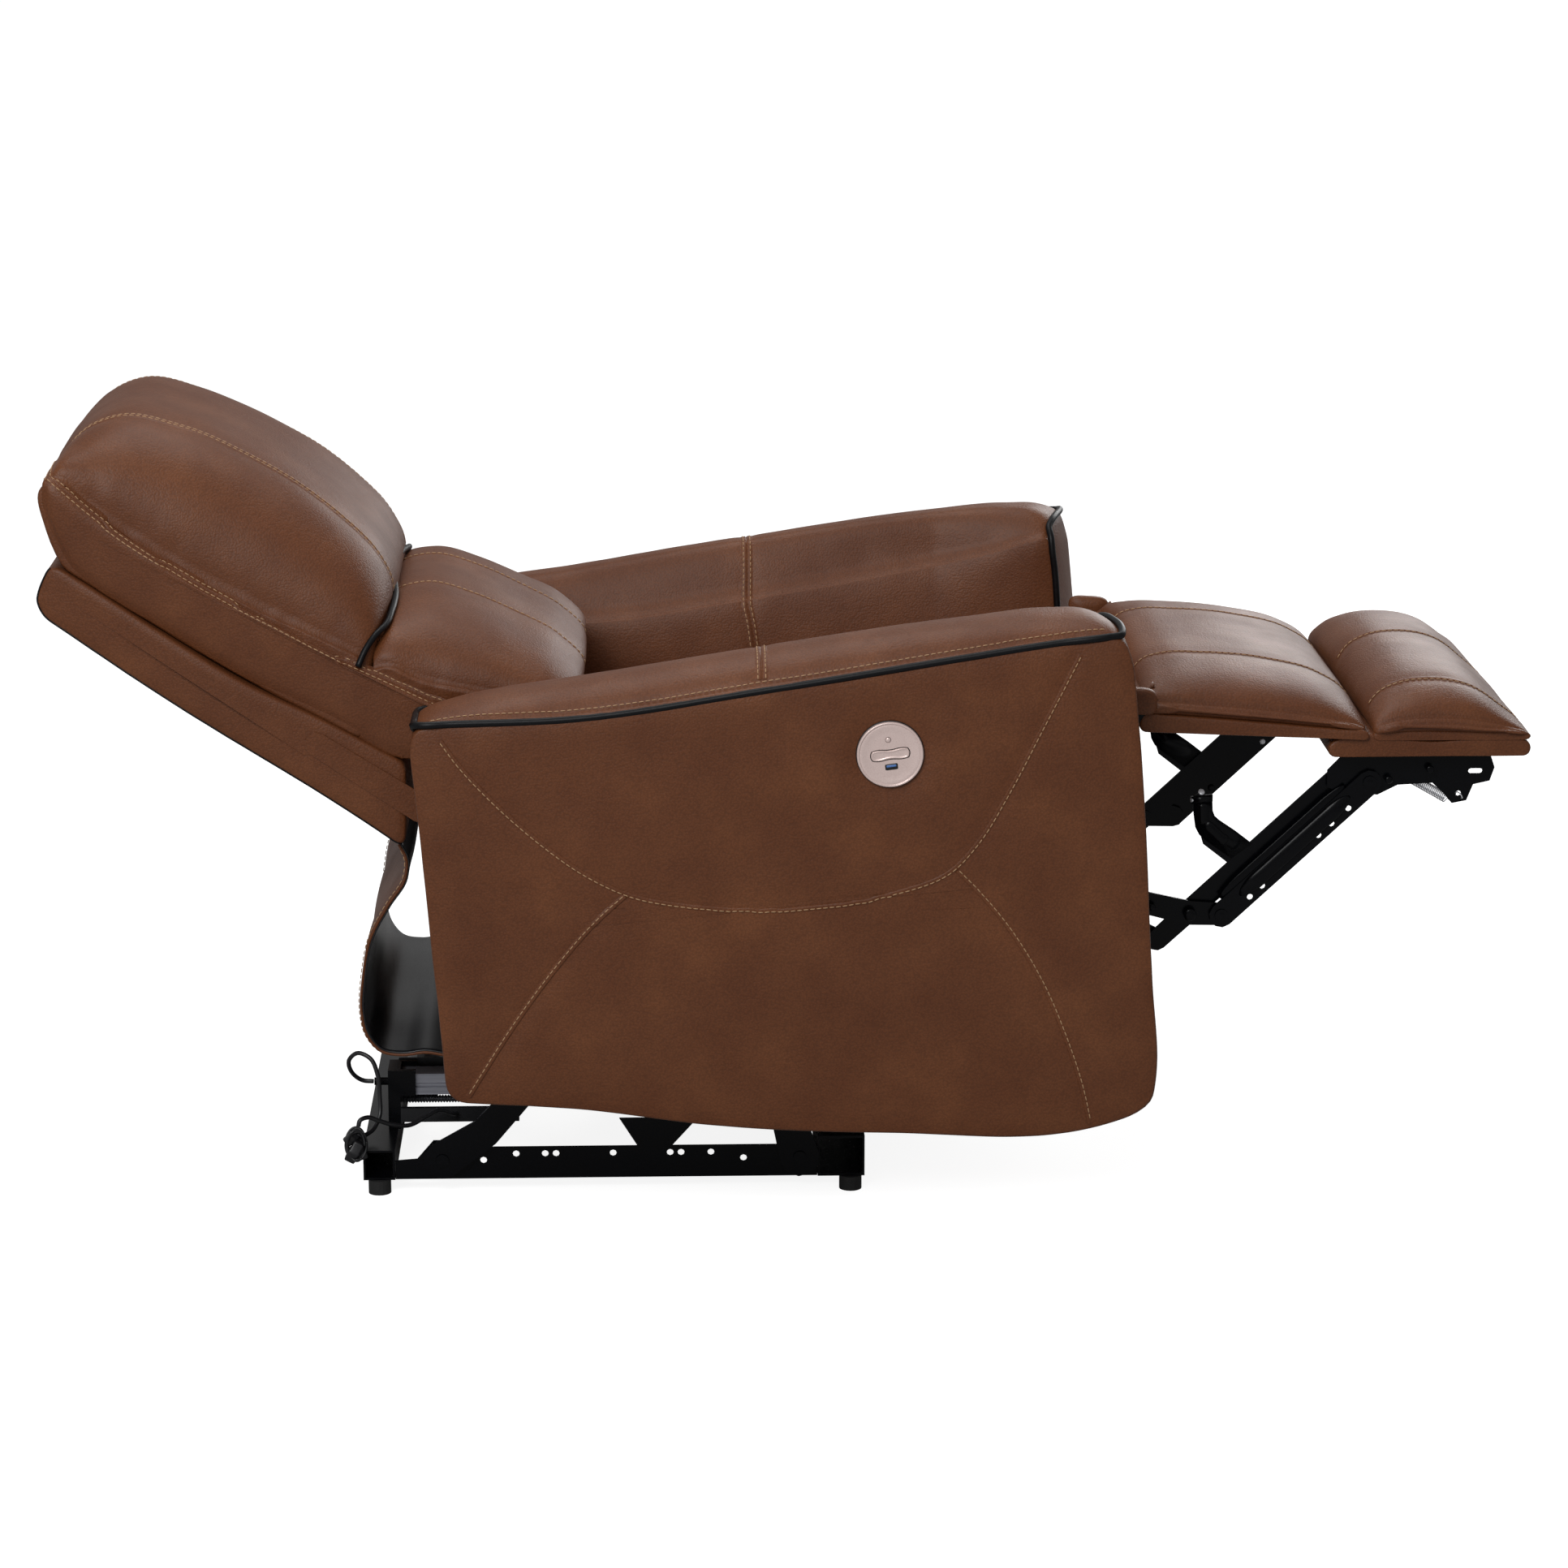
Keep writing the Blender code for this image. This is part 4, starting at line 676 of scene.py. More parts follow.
def arm_cover(label):
    side = SIDES[label]
    rings = [arm_ring(u, side) for u in ARM_STATIONS]
    rings = filled_ends(rings, SIDE_SPINE, SIDE_PUFF, roundness=5 * MM, steps=22)
    cover = loft("arm_cover_" + label, rings, LEATHER)
    for vertex in cover.data.vertices:
        co = vertex.co
        shares = 1 - (side * co.y - ARM_INNER) / ARM_WIDTH, (co.z - 0.48) / 0.14, (0.31 - co.x) / 0.12
        inward, up, back = (min(1, max(0, share)) for share in shares)
        co.y += side * INNER_LEAN * inward**3 * up**1.5 * back
    seams = np.concatenate([evenly(on_side(seam, side), 60) for seam in (SIDE_SEAM, REAR_SEAM, FRONT_SEAM)])
    cross = evenly(cross_seam(side, 4.2 * MM), 50)

    def depth(co, no):
        outside = (side * co[:, 1] > ARM_OUTER - 6 * MM) & (abs(no[:, 1]) > 0.7)
        down = -1.3 * MM * np.exp(-((away_from(co, seams) / (9 * MM)) ** 2)) * outside
        down += -1.6 * MM * np.exp(-((away_from(co, cross) / (10 * MM)) ** 2))
        if side < 0:
            reach = np.hypot(co[:, 0] - SWITCH.x, co[:, 2] - SWITCH.z)
            down -= 3.6 * MM * np.exp(-(np.maximum(0, reach - SWITCH_R) / (14 * MM)) ** 1.6) * outside
        swell = 1.1 * MM * ripple(co, (0.16, 0.09, 0.10), 3.1) + 0.35 * MM * ripple(co, 0.035, 7.7)
        edge = np.clip(1 - (ARM_OUTER - side * co[:, 1]) / (30 * MM), 0, 1) * (no[:, 2] > 0.2)
        pucker = 0.5 * MM * ripple(co, (0.010, 0.05, 0.05), 1.3) * edge
        return down + swell + pucker

    return moved(cover, depth)


def cross_seam(side, lift=0.0):
    """Over the arm from its inner side to the piping, where two hides of the crown meet."""
    line = [(-0.0245, ARM_INNER - 4 * MM, 0.500), (-0.029, ARM_INNER - 4 * MM, 0.535)]
    for u in (0.04, 0.10, 0.2, 0.33, 0.5, 0.65, 0.78, 0.87, 0.93):
        rise = 0.5915 + (0.6295 - 0.5915) * crown_share(u)
        line.append((-0.0335, ARM_INNER + u * ARM_WIDTH, rise + lift))
    return [(x, side * y, z) for x, y, z in line]


def arm_piping(label, skin):
    """One run of piping: over the rear end, along the outer edge, over the crown and down the front."""
    side = SIDES[label]
    outer = ARM_OUTER - 1.4 * MM
    run = [(-0.386, ARM_INNER + 24 * MM, 0.5450), (-0.3990, ARM_INNER + 34 * MM, 0.5545)]
    run += [(-0.4025, ARM_INNER + 54 * MM, 0.5575), (-0.4035, outer - 24 * MM, 0.5585)]
    run += [(-0.4015, outer - 8 * MM, 0.5595), (-0.392, outer - 0.5 * MM, 0.5605)]
    run += [(x, outer, edge + 3.6 * MM) for x, edge, _ in ARM_TOP[2:7]]
    run += [(0.330, outer, 0.6505), (0.3435, outer - 5 * MM, 0.6515), (0.3455, outer - 14 * MM, 0.6535)]
    for u in (0.70, 0.5, 0.33, 0.2, 0.10):
        run.append((0.3475 - front_pull(u), ARM_INNER + u * ARM_WIDTH, 0.6485 + 0.0085 * crown_share(u)))
    run += [(0.3275, ARM_INNER + 3.5 * MM, 0.6385), (0.3290, ARM_INNER - 0.5 * MM, 0.622)]
    front = ((0.332, 0.600), (0.336, 0.551), (0.354, 0.285), (0.359, 0.175))
    run += [(x, ARM_INNER - 1 * MM, z) for x, z in front]
    path = smooth_line([(x, side * y, z) for x, y, z in run], 420)
    for i, spot in enumerate(path):
        if spot[0] < -0.385 and side * spot[1] < ARM_OUTER - 10 * MM:  # the rear end hugs the cover
            found, normal = skin.find_nearest(Vector(spot))[:2]
            path[i] = found + normal * PIPE_R * 0.4
    return tube("arm_welt_" + label, path, PIPE_R, PIPING, sides=12)


# %% Arms
def seam(name, skin, path, profile, offsets, parts):
    """Lays a band and its rows of thread on the skin, and adds them to the parts."""
    parts["bands"].append(seam_band(name + "_band", skin, path, profile, LEATHER))
    parts["rows"] += [stitch_row(name + "_row", skin, path, offset, THREAD) for offset in offsets]


def flipped(profile):
    return tuple((-o, h) for o, h in profile[::-1])


def gathered(label, body, parts):
    """The bands and the rows of one piece, each joined into one object that rides on its body."""
    for kind, found in parts.items():
        if kind == "bands":
            dress(joined(label + "_seam_bands", found), body)
        else:
            dress(joined(label + "_stitching", found), body)


for label, side in SIDES.items():
    cover = arm_cover(label)
    dress(cover, "carriage", "arm_" + label)
    skin = skin_of(cover)
    parts = {"bands": [], "rows": []}
    for name, line, way in (("swing", SIDE_SEAM, 1), ("rear", REAR_SEAM, 1), ("front", FRONT_SEAM, -1)):
        profile = ONE_ROW if way * side > 0 else flipped(ONE_ROW)
        row = -ROW_AT if way * side > 0 else ROW_AT
        seam(f"{name}_{label}", skin, smooth_line(on_side(line, side), 200), profile, [row], parts)
    seam(f"cross_{label}", skin, smooth_line(cross_seam(side), 120), TWO_ROWS, [-ROW_AT, ROW_AT], parts)
    edge = [(x, side * (ARM_OUTER - 12 * MM), z + 9 * MM) for x, z, _ in ARM_TOP[1:8]]
    parts["rows"].append(stitch_row("edge_" + label, skin, smooth_line(edge, 200), 0, THREAD, 0.4 * MM))
    gathered("arm_" + label, "carriage", parts)
    dress(arm_piping(label, skin), "carriage", "arm_piping_" + label)


# %% [markdown]
# ## Cushions across the chair
# The back and the footrest are pads that run across the chair. Side on, each has a low section at its sides,
# where a seam joins the top hide to a gusset, and a higher one in the middle. In between, the top rises from
# the seam as a squared ellipse would. Foam under leather is never even, so low swells and short puckers near the
# seams are added to the surface itself.


# %% Pad helper
def pad_rise(share):
    return math.sqrt(max(0.0, 1 - abs(share) ** 4))


def pad_rings(edge, crest, under, half, counts=(110, 60), stations=56, half_end=None, span=1.0):
    """Rings from right to left. edge and crest are the top line at the sides and in the middle."""
    rings = []
    edge, crest = np.array(edge), np.array(crest)
    for share in np.sin(np.linspace(-math.pi / 2, math.pi / 2, stations)):
        line = edge + (crest - edge) * pad_rise(share)
        flat = outline((line, counts[0]), (under, counts[1]))
        width = np.full(len(flat), half)
        if half_end is not None:
            width += (half_end - half) * (edge[0][0] - flat[:, 0]) / span
        rings.append(np.stack([flat[:, 0], share * width, flat[:, 1]], axis=1))
    return rings


def foam(co, swell, seams=None, pinch=0.0, reach=12 * MM, pucker=0.0, lines=(0.012, 0.012, 0.012), seed=0.0):
    """How far a padded surface moves out: long swells, less where a seam pinches it, and puckers there."""
    out = swell * (ripple(co, 0.17, seed) + 0.35 * ripple(co, 0.06, seed + 5))
    if seams is not None:
        away = away_from(co, seams)
        out = out - pinch * np.exp(-((away / reach) ** 2))
        out += pucker * ripple(co, lines, seed + 9) * np.exp(-((away / (2.6 * reach)) ** 2))
    return out


# %% [markdown]
# ## Back
# The back is a wrapped board with a shallow box of leather round it, and two pillows sewn to its face. The
# shell's edges are rolled, and a thin black welt closes its rear face. It has to swing up between the arms,
# so nothing on it is wider than the gap between them.

# %% Back shell
SHELL_TOP = (
    (-0.4155, 0.4895), (-0.500, 0.536), (-0.587, 0.579), (-0.672, 0.632), (-0.757, 0.687), (-0.783, 0.703),
)
SHELL_END = ((-0.792, 0.7045), (-0.804, 0.680), (-0.8085, 0.664))
SHELL_BOTTOM = ((-0.803, 0.6505), (-0.700, 0.580), (-0.589, 0.509), (-0.500, 0.452), (-0.421, 0.397))
SHELL_FOOT = ((-0.4165, 0.401), (-0.4145, 0.440), (-0.4145, 0.483))
shell_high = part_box("back_shell")[1]
SHELL_HALF, SHELL_HALF_END = shell_high.y, 0.2365
SHELL_NARROWS_AT, SHELL_NARROWS_OVER = -0.60, 0.205
SHELL_STATIONS = 40
WELT_R = 1.3 * MM


def shell_half(x):
    """The shell narrows towards its head end."""
    share = np.clip((SHELL_NARROWS_AT - x) / SHELL_NARROWS_OVER, 0, 1)
    return SHELL_HALF + (SHELL_HALF_END - SHELL_HALF) * share**1.3


def shell_rings():
    flat = outline((SHELL_TOP, 110), (SHELL_END, 16), (SHELL_BOTTOM, 110), (SHELL_FOOT, 24))
    rings = []
    for share in np.linspace(-1, 1, SHELL_STATIONS):
        y = share * (shell_half(flat[:, 0]) - 5 * MM)
        rings.append(np.stack([flat[:, 0], y, flat[:, 1]], axis=1))
    return rings


def end_profile(rings, spine, puff, roundness, steps=10):
    """As filled_ends, for rings that aren't in one plane: the y of each point shrinks with its ring."""
    a, b = (np.array(p, float) for p in spine)

    def end(ring, outward):
        flat, y = ring[:, [0, 2]], ring[:, 1]
        t = np.clip((flat - a) @ (b - a) / ((b - a) @ (b - a)), 0, 1)[:, None]
        centre = a + t * (b - a)
        reach = np.linalg.norm(flat - centre, axis=1)[:, None]
        middle_y = np.interp(centre[:, 0], np.sort(flat[:, 0]), y[np.argsort(flat[:, 0])])
        made = []
        for angle in np.linspace(0, math.pi / 2, 6)[1:]:
            lost = np.minimum(roundness * (1 - math.cos(angle)) / reach, 0.8)
            spot = centre + (flat - centre) * (1 - lost)
            made.append(np.stack([spot[:, 0], y + outward * roundness * math.sin(angle), spot[:, 1]], axis=1))
        lost = np.minimum(roundness / reach, 0.8)
        for share in np.linspace(1, 0.05, steps)[1:]:
            spot = centre + (flat - centre) * (1 - lost) * share
            rise = roundness + puff * math.sqrt(1 - share**4)
            mixed = y * share + middle_y * (1 - share)
            made.append(np.stack([spot[:, 0], mixed + outward * rise, spot[:, 1]], axis=1))
        return made

    return [*end(rings[0], -1)[::-1], *rings, *end(rings[-1], 1)]


shell_spine = ((-0.44, 0.445), (-0.775, 0.668))
shell = loft("back_cover", end_profile(shell_rings(), shell_spine, 1.2 * MM, 5 * MM), LEATHER)
moved(shell, lambda co, no: 0.5 * MM * ripple(co, 0.11, 2.2) + 0.15 * MM * ripple(co, 0.03, 4.0))
dress(shell, "back", "back_shell")

# %% Shell welts
parts, shell_skin = [], skin_of(shell)
for label, side in SIDES.items():
    line = np.concatenate([smooth_line(SHELL_BOTTOM[::-1], 90), smooth_line(SHELL_END[::-1], 14)])
    path = [(x, side * (shell_half(x) - 2 * MM), z) for x, z in evenly(softened_line(line, 6), 150)]
    path = [shell_skin.find_nearest(Vector(p))[0] for p in path]
    parts.append(tube("shell_welt_" + label, path, WELT_R, PIPING, sides=8))
dress(joined("shell_welts", parts), "back")

# %% [markdown]
# ### Pillows
# The head pillow and the lumbar pillow meet at a black piping. A double seam joins their tops to the gussets,
# and another runs along both, dividing the middle panel from the side ones.

# %% Pillows
HEAD_EDGE = (
    (-0.4560, 0.597), (-0.4600, 0.6050), (-0.476, 0.6135), (-0.510, 0.630), (-0.560, 0.654), (-0.640, 0.696),
    (-0.700, 0.734), (-0.750, 0.771), (-0.7850, 0.800), (-0.798, 0.793), (-0.7960, 0.740),
)
HEAD_CREST = (
    (-0.4360, 0.628), (-0.4290, 0.660), (-0.4460, 0.704), (-0.480, 0.7425), (-0.5215, 0.778),
    (-0.588, 0.8175), (-0.657, 0.8475), (-0.722, 0.8585), (-0.7700, 0.8340), (-0.799, 0.794),
    (-0.7990, 0.742),
)
LUMBAR_EDGE = (
    (-0.264, 0.528), (-0.245, 0.540), (-0.264, 0.552), (-0.303, 0.562), (-0.345, 0.569), (-0.395, 0.580),
    (-0.440, 0.596), (-0.455, 0.590),
)
LUMBAR_CREST = (
    (-0.252, 0.535), (-0.222, 0.562), (-0.251, 0.598), (-0.297, 0.624), (-0.345, 0.646), (-0.398, 0.659),
    (-0.438, 0.646), (-0.452, 0.624),
)
PILLOW_LIFT = 1.2 * MM
PILLOW_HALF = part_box("lumbar_pillow")[1].y - 5 * MM
HEAD_HALF_END, HEAD_SPAN = 0.231, 0.337


def on_shell(x):
    line = np.array(SHELL_TOP)[::-1]
    return float(np.interp(x, line[:, 0], line[:, 1])) + PILLOW_LIFT


def pillow(name, edge, crest, under_x, spine, **shape):
    under = [(x, on_shell(x)) for x in under_x]
    rings = pad_rings(edge, crest, under, PILLOW_HALF, **shape)
    return loft(name, end_profile(rings, spine, 0, 5 * MM), LEATHER)


def pad_line(edge, crest, y, width_of, first=0, last=None):
    """The line along a pad's top at that place across it."""
    points = []
    for (x0, z0), (x1, z1) in list(zip(edge, crest))[first:last]:
        rise = pad_rise(min(1, abs(y) / width_of(x0)))
        points.append((x0 + (x1 - x0) * rise, y, z0 + (z1 - z0) * rise))
    return points


def head_half(x):
    return PILLOW_HALF + (HEAD_HALF_END - PILLOW_HALF) * (HEAD_EDGE[0][0] - x) / HEAD_SPAN


def lumbar_half(x):
    return PILLOW_HALF


HEAD_UNDER_X, HEAD_SPINE = (-0.785, -0.70, -0.60, -0.452), ((-0.50, 0.59), (-0.755, 0.735))
LUMBAR_UNDER_X, LUMBAR_SPINE = (-0.4165, -0.430, -0.449), ((-0.30, 0.548), (-0.42, 0.560))
head_shape = {"half_end": HEAD_HALF_END, "span": HEAD_SPAN}
head = pillow("head_cushion", HEAD_EDGE, HEAD_CREST, HEAD_UNDER_X, HEAD_SPINE, **head_shape)
lumbar = pillow("lumbar_cushion", LUMBAR_EDGE, LUMBAR_CREST, LUMBAR_UNDER_X, LUMBAR_SPINE)
print("pillows", [round(v, 3) for v in (*head.dimensions, *lumbar.dimensions)])

# %% [markdown]
# ### Gussets
# A gusset is the hide down each side of both pillows. It is a shallow pad of its own, a little wider than
# they are, and its upper edge is the line that the rim seam follows.

# %% Gusset outline
GUSSET_TOP = (
    (-0.7890, 0.8010), (-0.7500, 0.7680), (-0.6350, 0.6870), (-0.5500, 0.6390), (-0.4650, 0.5965),
    (-0.4200, 0.5755), (-0.3790, 0.5565), (-0.3300, 0.5415), (-0.2780, 0.5330),
)
GUSSET_UNDER = (
    (-0.2900, 0.5230), (-0.3500, 0.5080), (-0.4155, 0.4930), (-0.5000, 0.5385), (-0.5870, 0.5815),
    (-0.6720, 0.6345), (-0.7570, 0.6895), (-0.7730, 0.7040),
)
GUSSET_END = ((-0.7890, 0.7400), (-0.7975, 0.7750), (-0.7960, 0.7980))
GUSSET_DEPTHS = (-12 * MM, -5 * MM, 1.5 * MM)
GUSSET_SPINE = ((-0.765, 0.748), (-0.34, 0.526))


def rim_path(side):
    """The seam between the pillows' tops and their gusset, from behind the head end to the seat."""
    start = [(-0.8035, 0.130, 0.8030), (-0.8010, 0.190, 0.8080), (-0.7945, head_half(-0.79) - 4 * MM, 0.8040)]
    halves = [head_half(x) if x < HEAD_EDGE[0][0] else PILLOW_HALF for x, _ in GUSSET_TOP[1:]]
    along = [(x, half + 7 * MM, z) for (x, z), half in zip(GUSSET_TOP[1:], halves)]
    return smooth_line([(x, side * y, z) for x, y, z in start + along], 260)


# %% Gussets
gussets = []
flat = outline((GUSSET_TOP, 120), (GUSSET_UNDER, 110), (GUSSET_END, 26))
reach = np.where(flat[:, 0] < HEAD_EDGE[0][0], head_half(flat[:, 0]), PILLOW_HALF)
for label, side in SIDES.items():
    rings = [np.stack([flat[:, 0], side * (reach + depth), flat[:, 1]], axis=1) for depth in GUSSET_DEPTHS]
    rings = end_profile(rings[::side], GUSSET_SPINE, 6 * MM, 3.5 * MM)
    gusset = loft("gusset_" + label, rings, LEATHER)
    moved(gusset, lambda co, no: 0.9 * MM * ripple(co, (0.07, 0.2, 0.05), 8) + 0.3 * MM * ripple(co, 0.02, 1))
    dress(gusset, "back")
    gussets.append(gusset)

# %% Foam and seams of the pillows
CREASES = np.array([(-0.7640, side * 0.200, 0.843) for side in (-1, 1)])  # a dent near each head corner
rims = [rim_path(side) for side in (-1, 1)]
rim_dots = np.concatenate([evenly(line, 150) for line in rims])
for name, obj, edge, crest, width_of, panel_y, seed, profile, offsets in (
    ("head", head, HEAD_EDGE, HEAD_CREST, head_half, 0.138, 4, TWO_ROWS, (-ROW_AT * 0.62, ROW_AT * 0.62)),
    ("lumbar", lumbar, LUMBAR_EDGE, LUMBAR_CREST, lumbar_half, 0.085, 6, ONE_ROW, (-ROW_AT,)),
):
    panels = [smooth_line(pad_line(edge, crest, y, width_of, 1, -1), 120) for y in (-panel_y, panel_y)]
    panel_dots = np.concatenate([evenly(line, 70) for line in panels])

    def depth(co, no, panel_dots=panel_dots, seed=seed):
        out = foam(co, 2.4 * MM, rim_dots, 2.4 * MM, 15 * MM, 1.5 * MM, (0.018, 0.09, 0.018), seed)
        end = 1 + 2.5 * np.clip((-0.755 - co[:, 0]) / 0.04, 0, 1)
        for crease in CREASES:
            out = out - 5 * MM * np.exp(-((away_from(co, [crease]) / (15 * MM)) ** 2))
        return out - 1.6 * MM * end * np.exp(-((away_from(co, panel_dots) / (12 * MM)) ** 2))

    moved(obj, depth)
    dress(obj, "back", name + "_pillow")
    skin, parts = skin_of(obj), {"bands": [], "rows": []}
    for i, panel in enumerate(panels):
        seam(f"{name}_panel_{i}", skin, panel, profile, offsets, parts)
    gathered(name + "_pillow", "back", parts)
skin, parts = skin_of(head, lumbar, *gussets), {"bands": [], "rows": []}
for i, rim in enumerate(rims):
    seam(f"rim_{i}", skin, rim, TWO_ROWS, [-ROW_AT, ROW_AT], parts)
gathered("gusset", "back", parts)

# %% Piping between the pillows
WELT_HALF = (
    (-0.4640, 0.2545, 0.5960), (-0.4560, 0.2480, 0.6130), (-0.4460, 0.2370, 0.6265),
    (-0.4350, 0.2180, 0.6350), (-0.4300, 0.1900, 0.6445), (-0.4280, 0.1500, 0.6525),
    (-0.4320, 0.0900, 0.6590), (-0.4350, 0.0, 0.6620),
)
route = [(x, -y, z) for x, y, z in WELT_HALF] + [(x, y, z) for x, y, z in WELT_HALF[-2::-1]]
dress(tube("pillow_welt", smooth_line(route, 180), PIPE_R * 0.9, PIPING), "back", "pillow_piping")


# %% [markdown]
# ## Seat
# The arms hide most of the seat cushion, which only closes the well between them. A strip of the same hide runs
# from its front lip to the footrest over the hinge, as one fixed piece.

# %% Seat cushion
seat_low, seat_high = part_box("seat_cushion")
RAIL_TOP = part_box("seat_front_rail")[1].z
SEAT_REAR = seat_low.x - 36 * MM  # the cover runs on under the lumbar pillow and closes the gap there
SEAT_EDGE = (
    (SEAT_REAR, seat_low.z), (SEAT_REAR - 0.5 * MM, 0.418), (-0.286, 0.4340), (-0.270, 0.4430),
    (-0.235, 0.453), (-0.080, 0.470), (0.140, 0.500), (0.270, 0.519), (0.310, 0.517), (0.3265, 0.506),
    (seat_high.x, 0.464),
)
SEAT_CREST = (
    (SEAT_REAR, seat_low.z), (SEAT_REAR - 1 * MM, 0.419), (-0.287, 0.4370), (-0.270, 0.4480),
    (-0.232, 0.460), (-0.080, 0.478), (0.140, 0.514), (0.270, 0.541), (0.308, 0.540), (0.3275, 0.527),
    (seat_high.x + 1 * MM, 0.466),
)
seat_under = [(x, RAIL_TOP + 1 * MM) for x in (seat_high.x, 0.300, 0.262)]
seat_under += [(0.10, 0.4365), (SEAT_REAR + 1 * MM, seat_low.z)]
rings = pad_rings(SEAT_EDGE, SEAT_CREST, seat_under, seat_high.y - 5 * MM, counts=(120, 80))
seat = loft("seat_cover", end_profile(rings, ((-0.22, 0.425), (0.28, 0.487)), 0.5 * MM, 4.5 * MM), LEATHER)
moved(seat, lambda co, no: foam(co, 1.4 * MM, seed=3))
dress(seat, "carriage", "seat_cushion")

# %% Hinge strip
STRIP = ((0.318, 0.5350), (0.332, 0.5375), (0.348, 0.5425), (0.364, 0.5490), (0.380, 0.5565), (0.396, 0.5690))
STRIP_HALF, STRIP_THICK, STRIP_SAG = 0.236, 3 * MM, 2 * MM
strip_line = smooth_line(STRIP, 26)
points = []
for y in np.linspace(-STRIP_HALF, STRIP_HALF, 40):
    sag = STRIP_SAG * (y / STRIP_HALF) ** 2
    points.append([[(x, y, z - sag - thick) for x, z in strip_line] for thick in (0, STRIP_THICK)])
hinge_strip = thin_shell("hinge_strip", points, LEATHER)
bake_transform(hinge_strip)

# %% [markdown]
# ## Footrest
# Two pads lie on boards wrapped in hide. Each has a flat band below and a full top above, and their stitched
# seams run from the seat towards the feet.


# %% Slab helper
def slab(name, line_top, line_under, half, roundness=3 * MM):
    """A flat wrapped board across the chair, with soft edges."""
    flat = outline((line_top, 70), (line_under, 70))
    rings = []
    for share in np.linspace(-1, 1, 26):
        y = np.full(len(flat), share * (half - roundness))
        rings.append(np.stack([flat[:, 0], y, flat[:, 1]], axis=1))
    start = np.mean([line_top[0], line_under[-1]], axis=0)
    end = np.mean([line_top[-1], line_under[0]], axis=0)
    inset = (end - start) * 0.04
    inner = (start + inset, end - inset)
    return loft(name, end_profile(rings, inner, 0.3 * MM, roundness), LEATHER)


# %% Calf section
board_high, pad_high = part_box("calf_board")[1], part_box("calf_pad")[1]
CALF_UNDER = ((0.3805, 0.5188), (0.6285, 0.5080))
calf_band = slab(
    "calf_band",
    ((0.3785, 0.5215), (0.3780, 0.5330), (0.3810, 0.5400), (0.400, 0.5385), (0.500, 0.5300), (0.600, 0.5205),
     (0.6260, 0.5180), (0.6295, 0.5150), (0.6290, 0.5100)),
    (CALF_UNDER[1], (0.60, 0.5093), (0.50, 0.5136), CALF_UNDER[0]),
    board_high.y,
)
CALF_EDGE = (
    (0.3810, 0.5400), (0.3815, 0.5465), (0.388, 0.5505), (0.405, 0.5500), (0.460, 0.5460), (0.530, 0.5390),
    (0.590, 0.5300), (0.618, 0.5235), (0.6265, 0.5190),
)
CALF_CREST = (
    (0.3815, 0.5440), (0.3845, 0.5640), (0.394, 0.5750), (0.412, 0.5805), (0.460, 0.5815), (0.530, 0.5740),
    (0.590, 0.5570), (0.620, 0.5360), (0.6290, 0.5210),
)
calf_base = [(0.6260, 0.5175), (0.60, 0.5195), (0.50, 0.5290), (0.3820, 0.5385)]
rings = pad_rings(CALF_EDGE, CALF_CREST, calf_base, pad_high.y - 3 * MM, counts=(110, 60))
calf_top = loft("calf_top", end_profile(rings, ((0.42, 0.5445), (0.585, 0.528)), 5 * MM, 6 * MM), LEATHER)

# %% Foot section
foot_low, foot_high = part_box("foot_board")
foot_board = slab(
    "foot_wrap",
    ((foot_low.x, 0.4905), (foot_low.x - 0.5 * MM, 0.4965), (foot_low.x, 0.5025), (0.5890, 0.5052),
     (0.70, 0.5052), (0.8020, 0.5052), (foot_high.x, 0.5030), (foot_high.x + 0.5 * MM, 0.4970),
     (foot_high.x, 0.4905)),
    ((0.8020, 0.4880), (0.70, 0.4880), (0.5890, 0.4880)),
    foot_high.y,
)
foot_band = slab(
    "foot_band",
    ((0.6330, 0.5075), (0.6322, 0.5125), (0.6345, 0.5165), (0.66, 0.5172), (0.76, 0.5160), (0.798, 0.5148),
     (0.8055, 0.5130), (0.8070, 0.5100), (0.8050, 0.5073)),
    ((0.8020, 0.5066), (0.70, 0.5066), (0.6360, 0.5066)),
    foot_high.y + 1 * MM,
)
FOOT_EDGE = (
    (0.6335, 0.5140), (0.6355, 0.5200), (0.648, 0.5255), (0.672, 0.5295), (0.710, 0.5310), (0.755, 0.5265),
    (0.785, 0.5200), (0.800, 0.5155), (0.8045, 0.5125),
)
FOOT_CREST = (
    (0.6330, 0.5170), (0.6365, 0.5360), (0.648, 0.5540), (0.668, 0.5650), (0.704, 0.5700), (0.748, 0.5610),
    (0.783, 0.5350), (0.8015, 0.5185), (0.8060, 0.5130),
)
foot_base = [(0.8030, 0.5120), (0.76, 0.5140), (0.66, 0.5150), (0.6350, 0.5135)]
rings = pad_rings(FOOT_EDGE, FOOT_CREST, foot_base, pad_high.y - 3 * MM, counts=(110, 50))
foot_top = loft("foot_top", end_profile(rings, ((0.665, 0.524), (0.775, 0.518)), 5 * MM, 6 * MM), LEATHER)

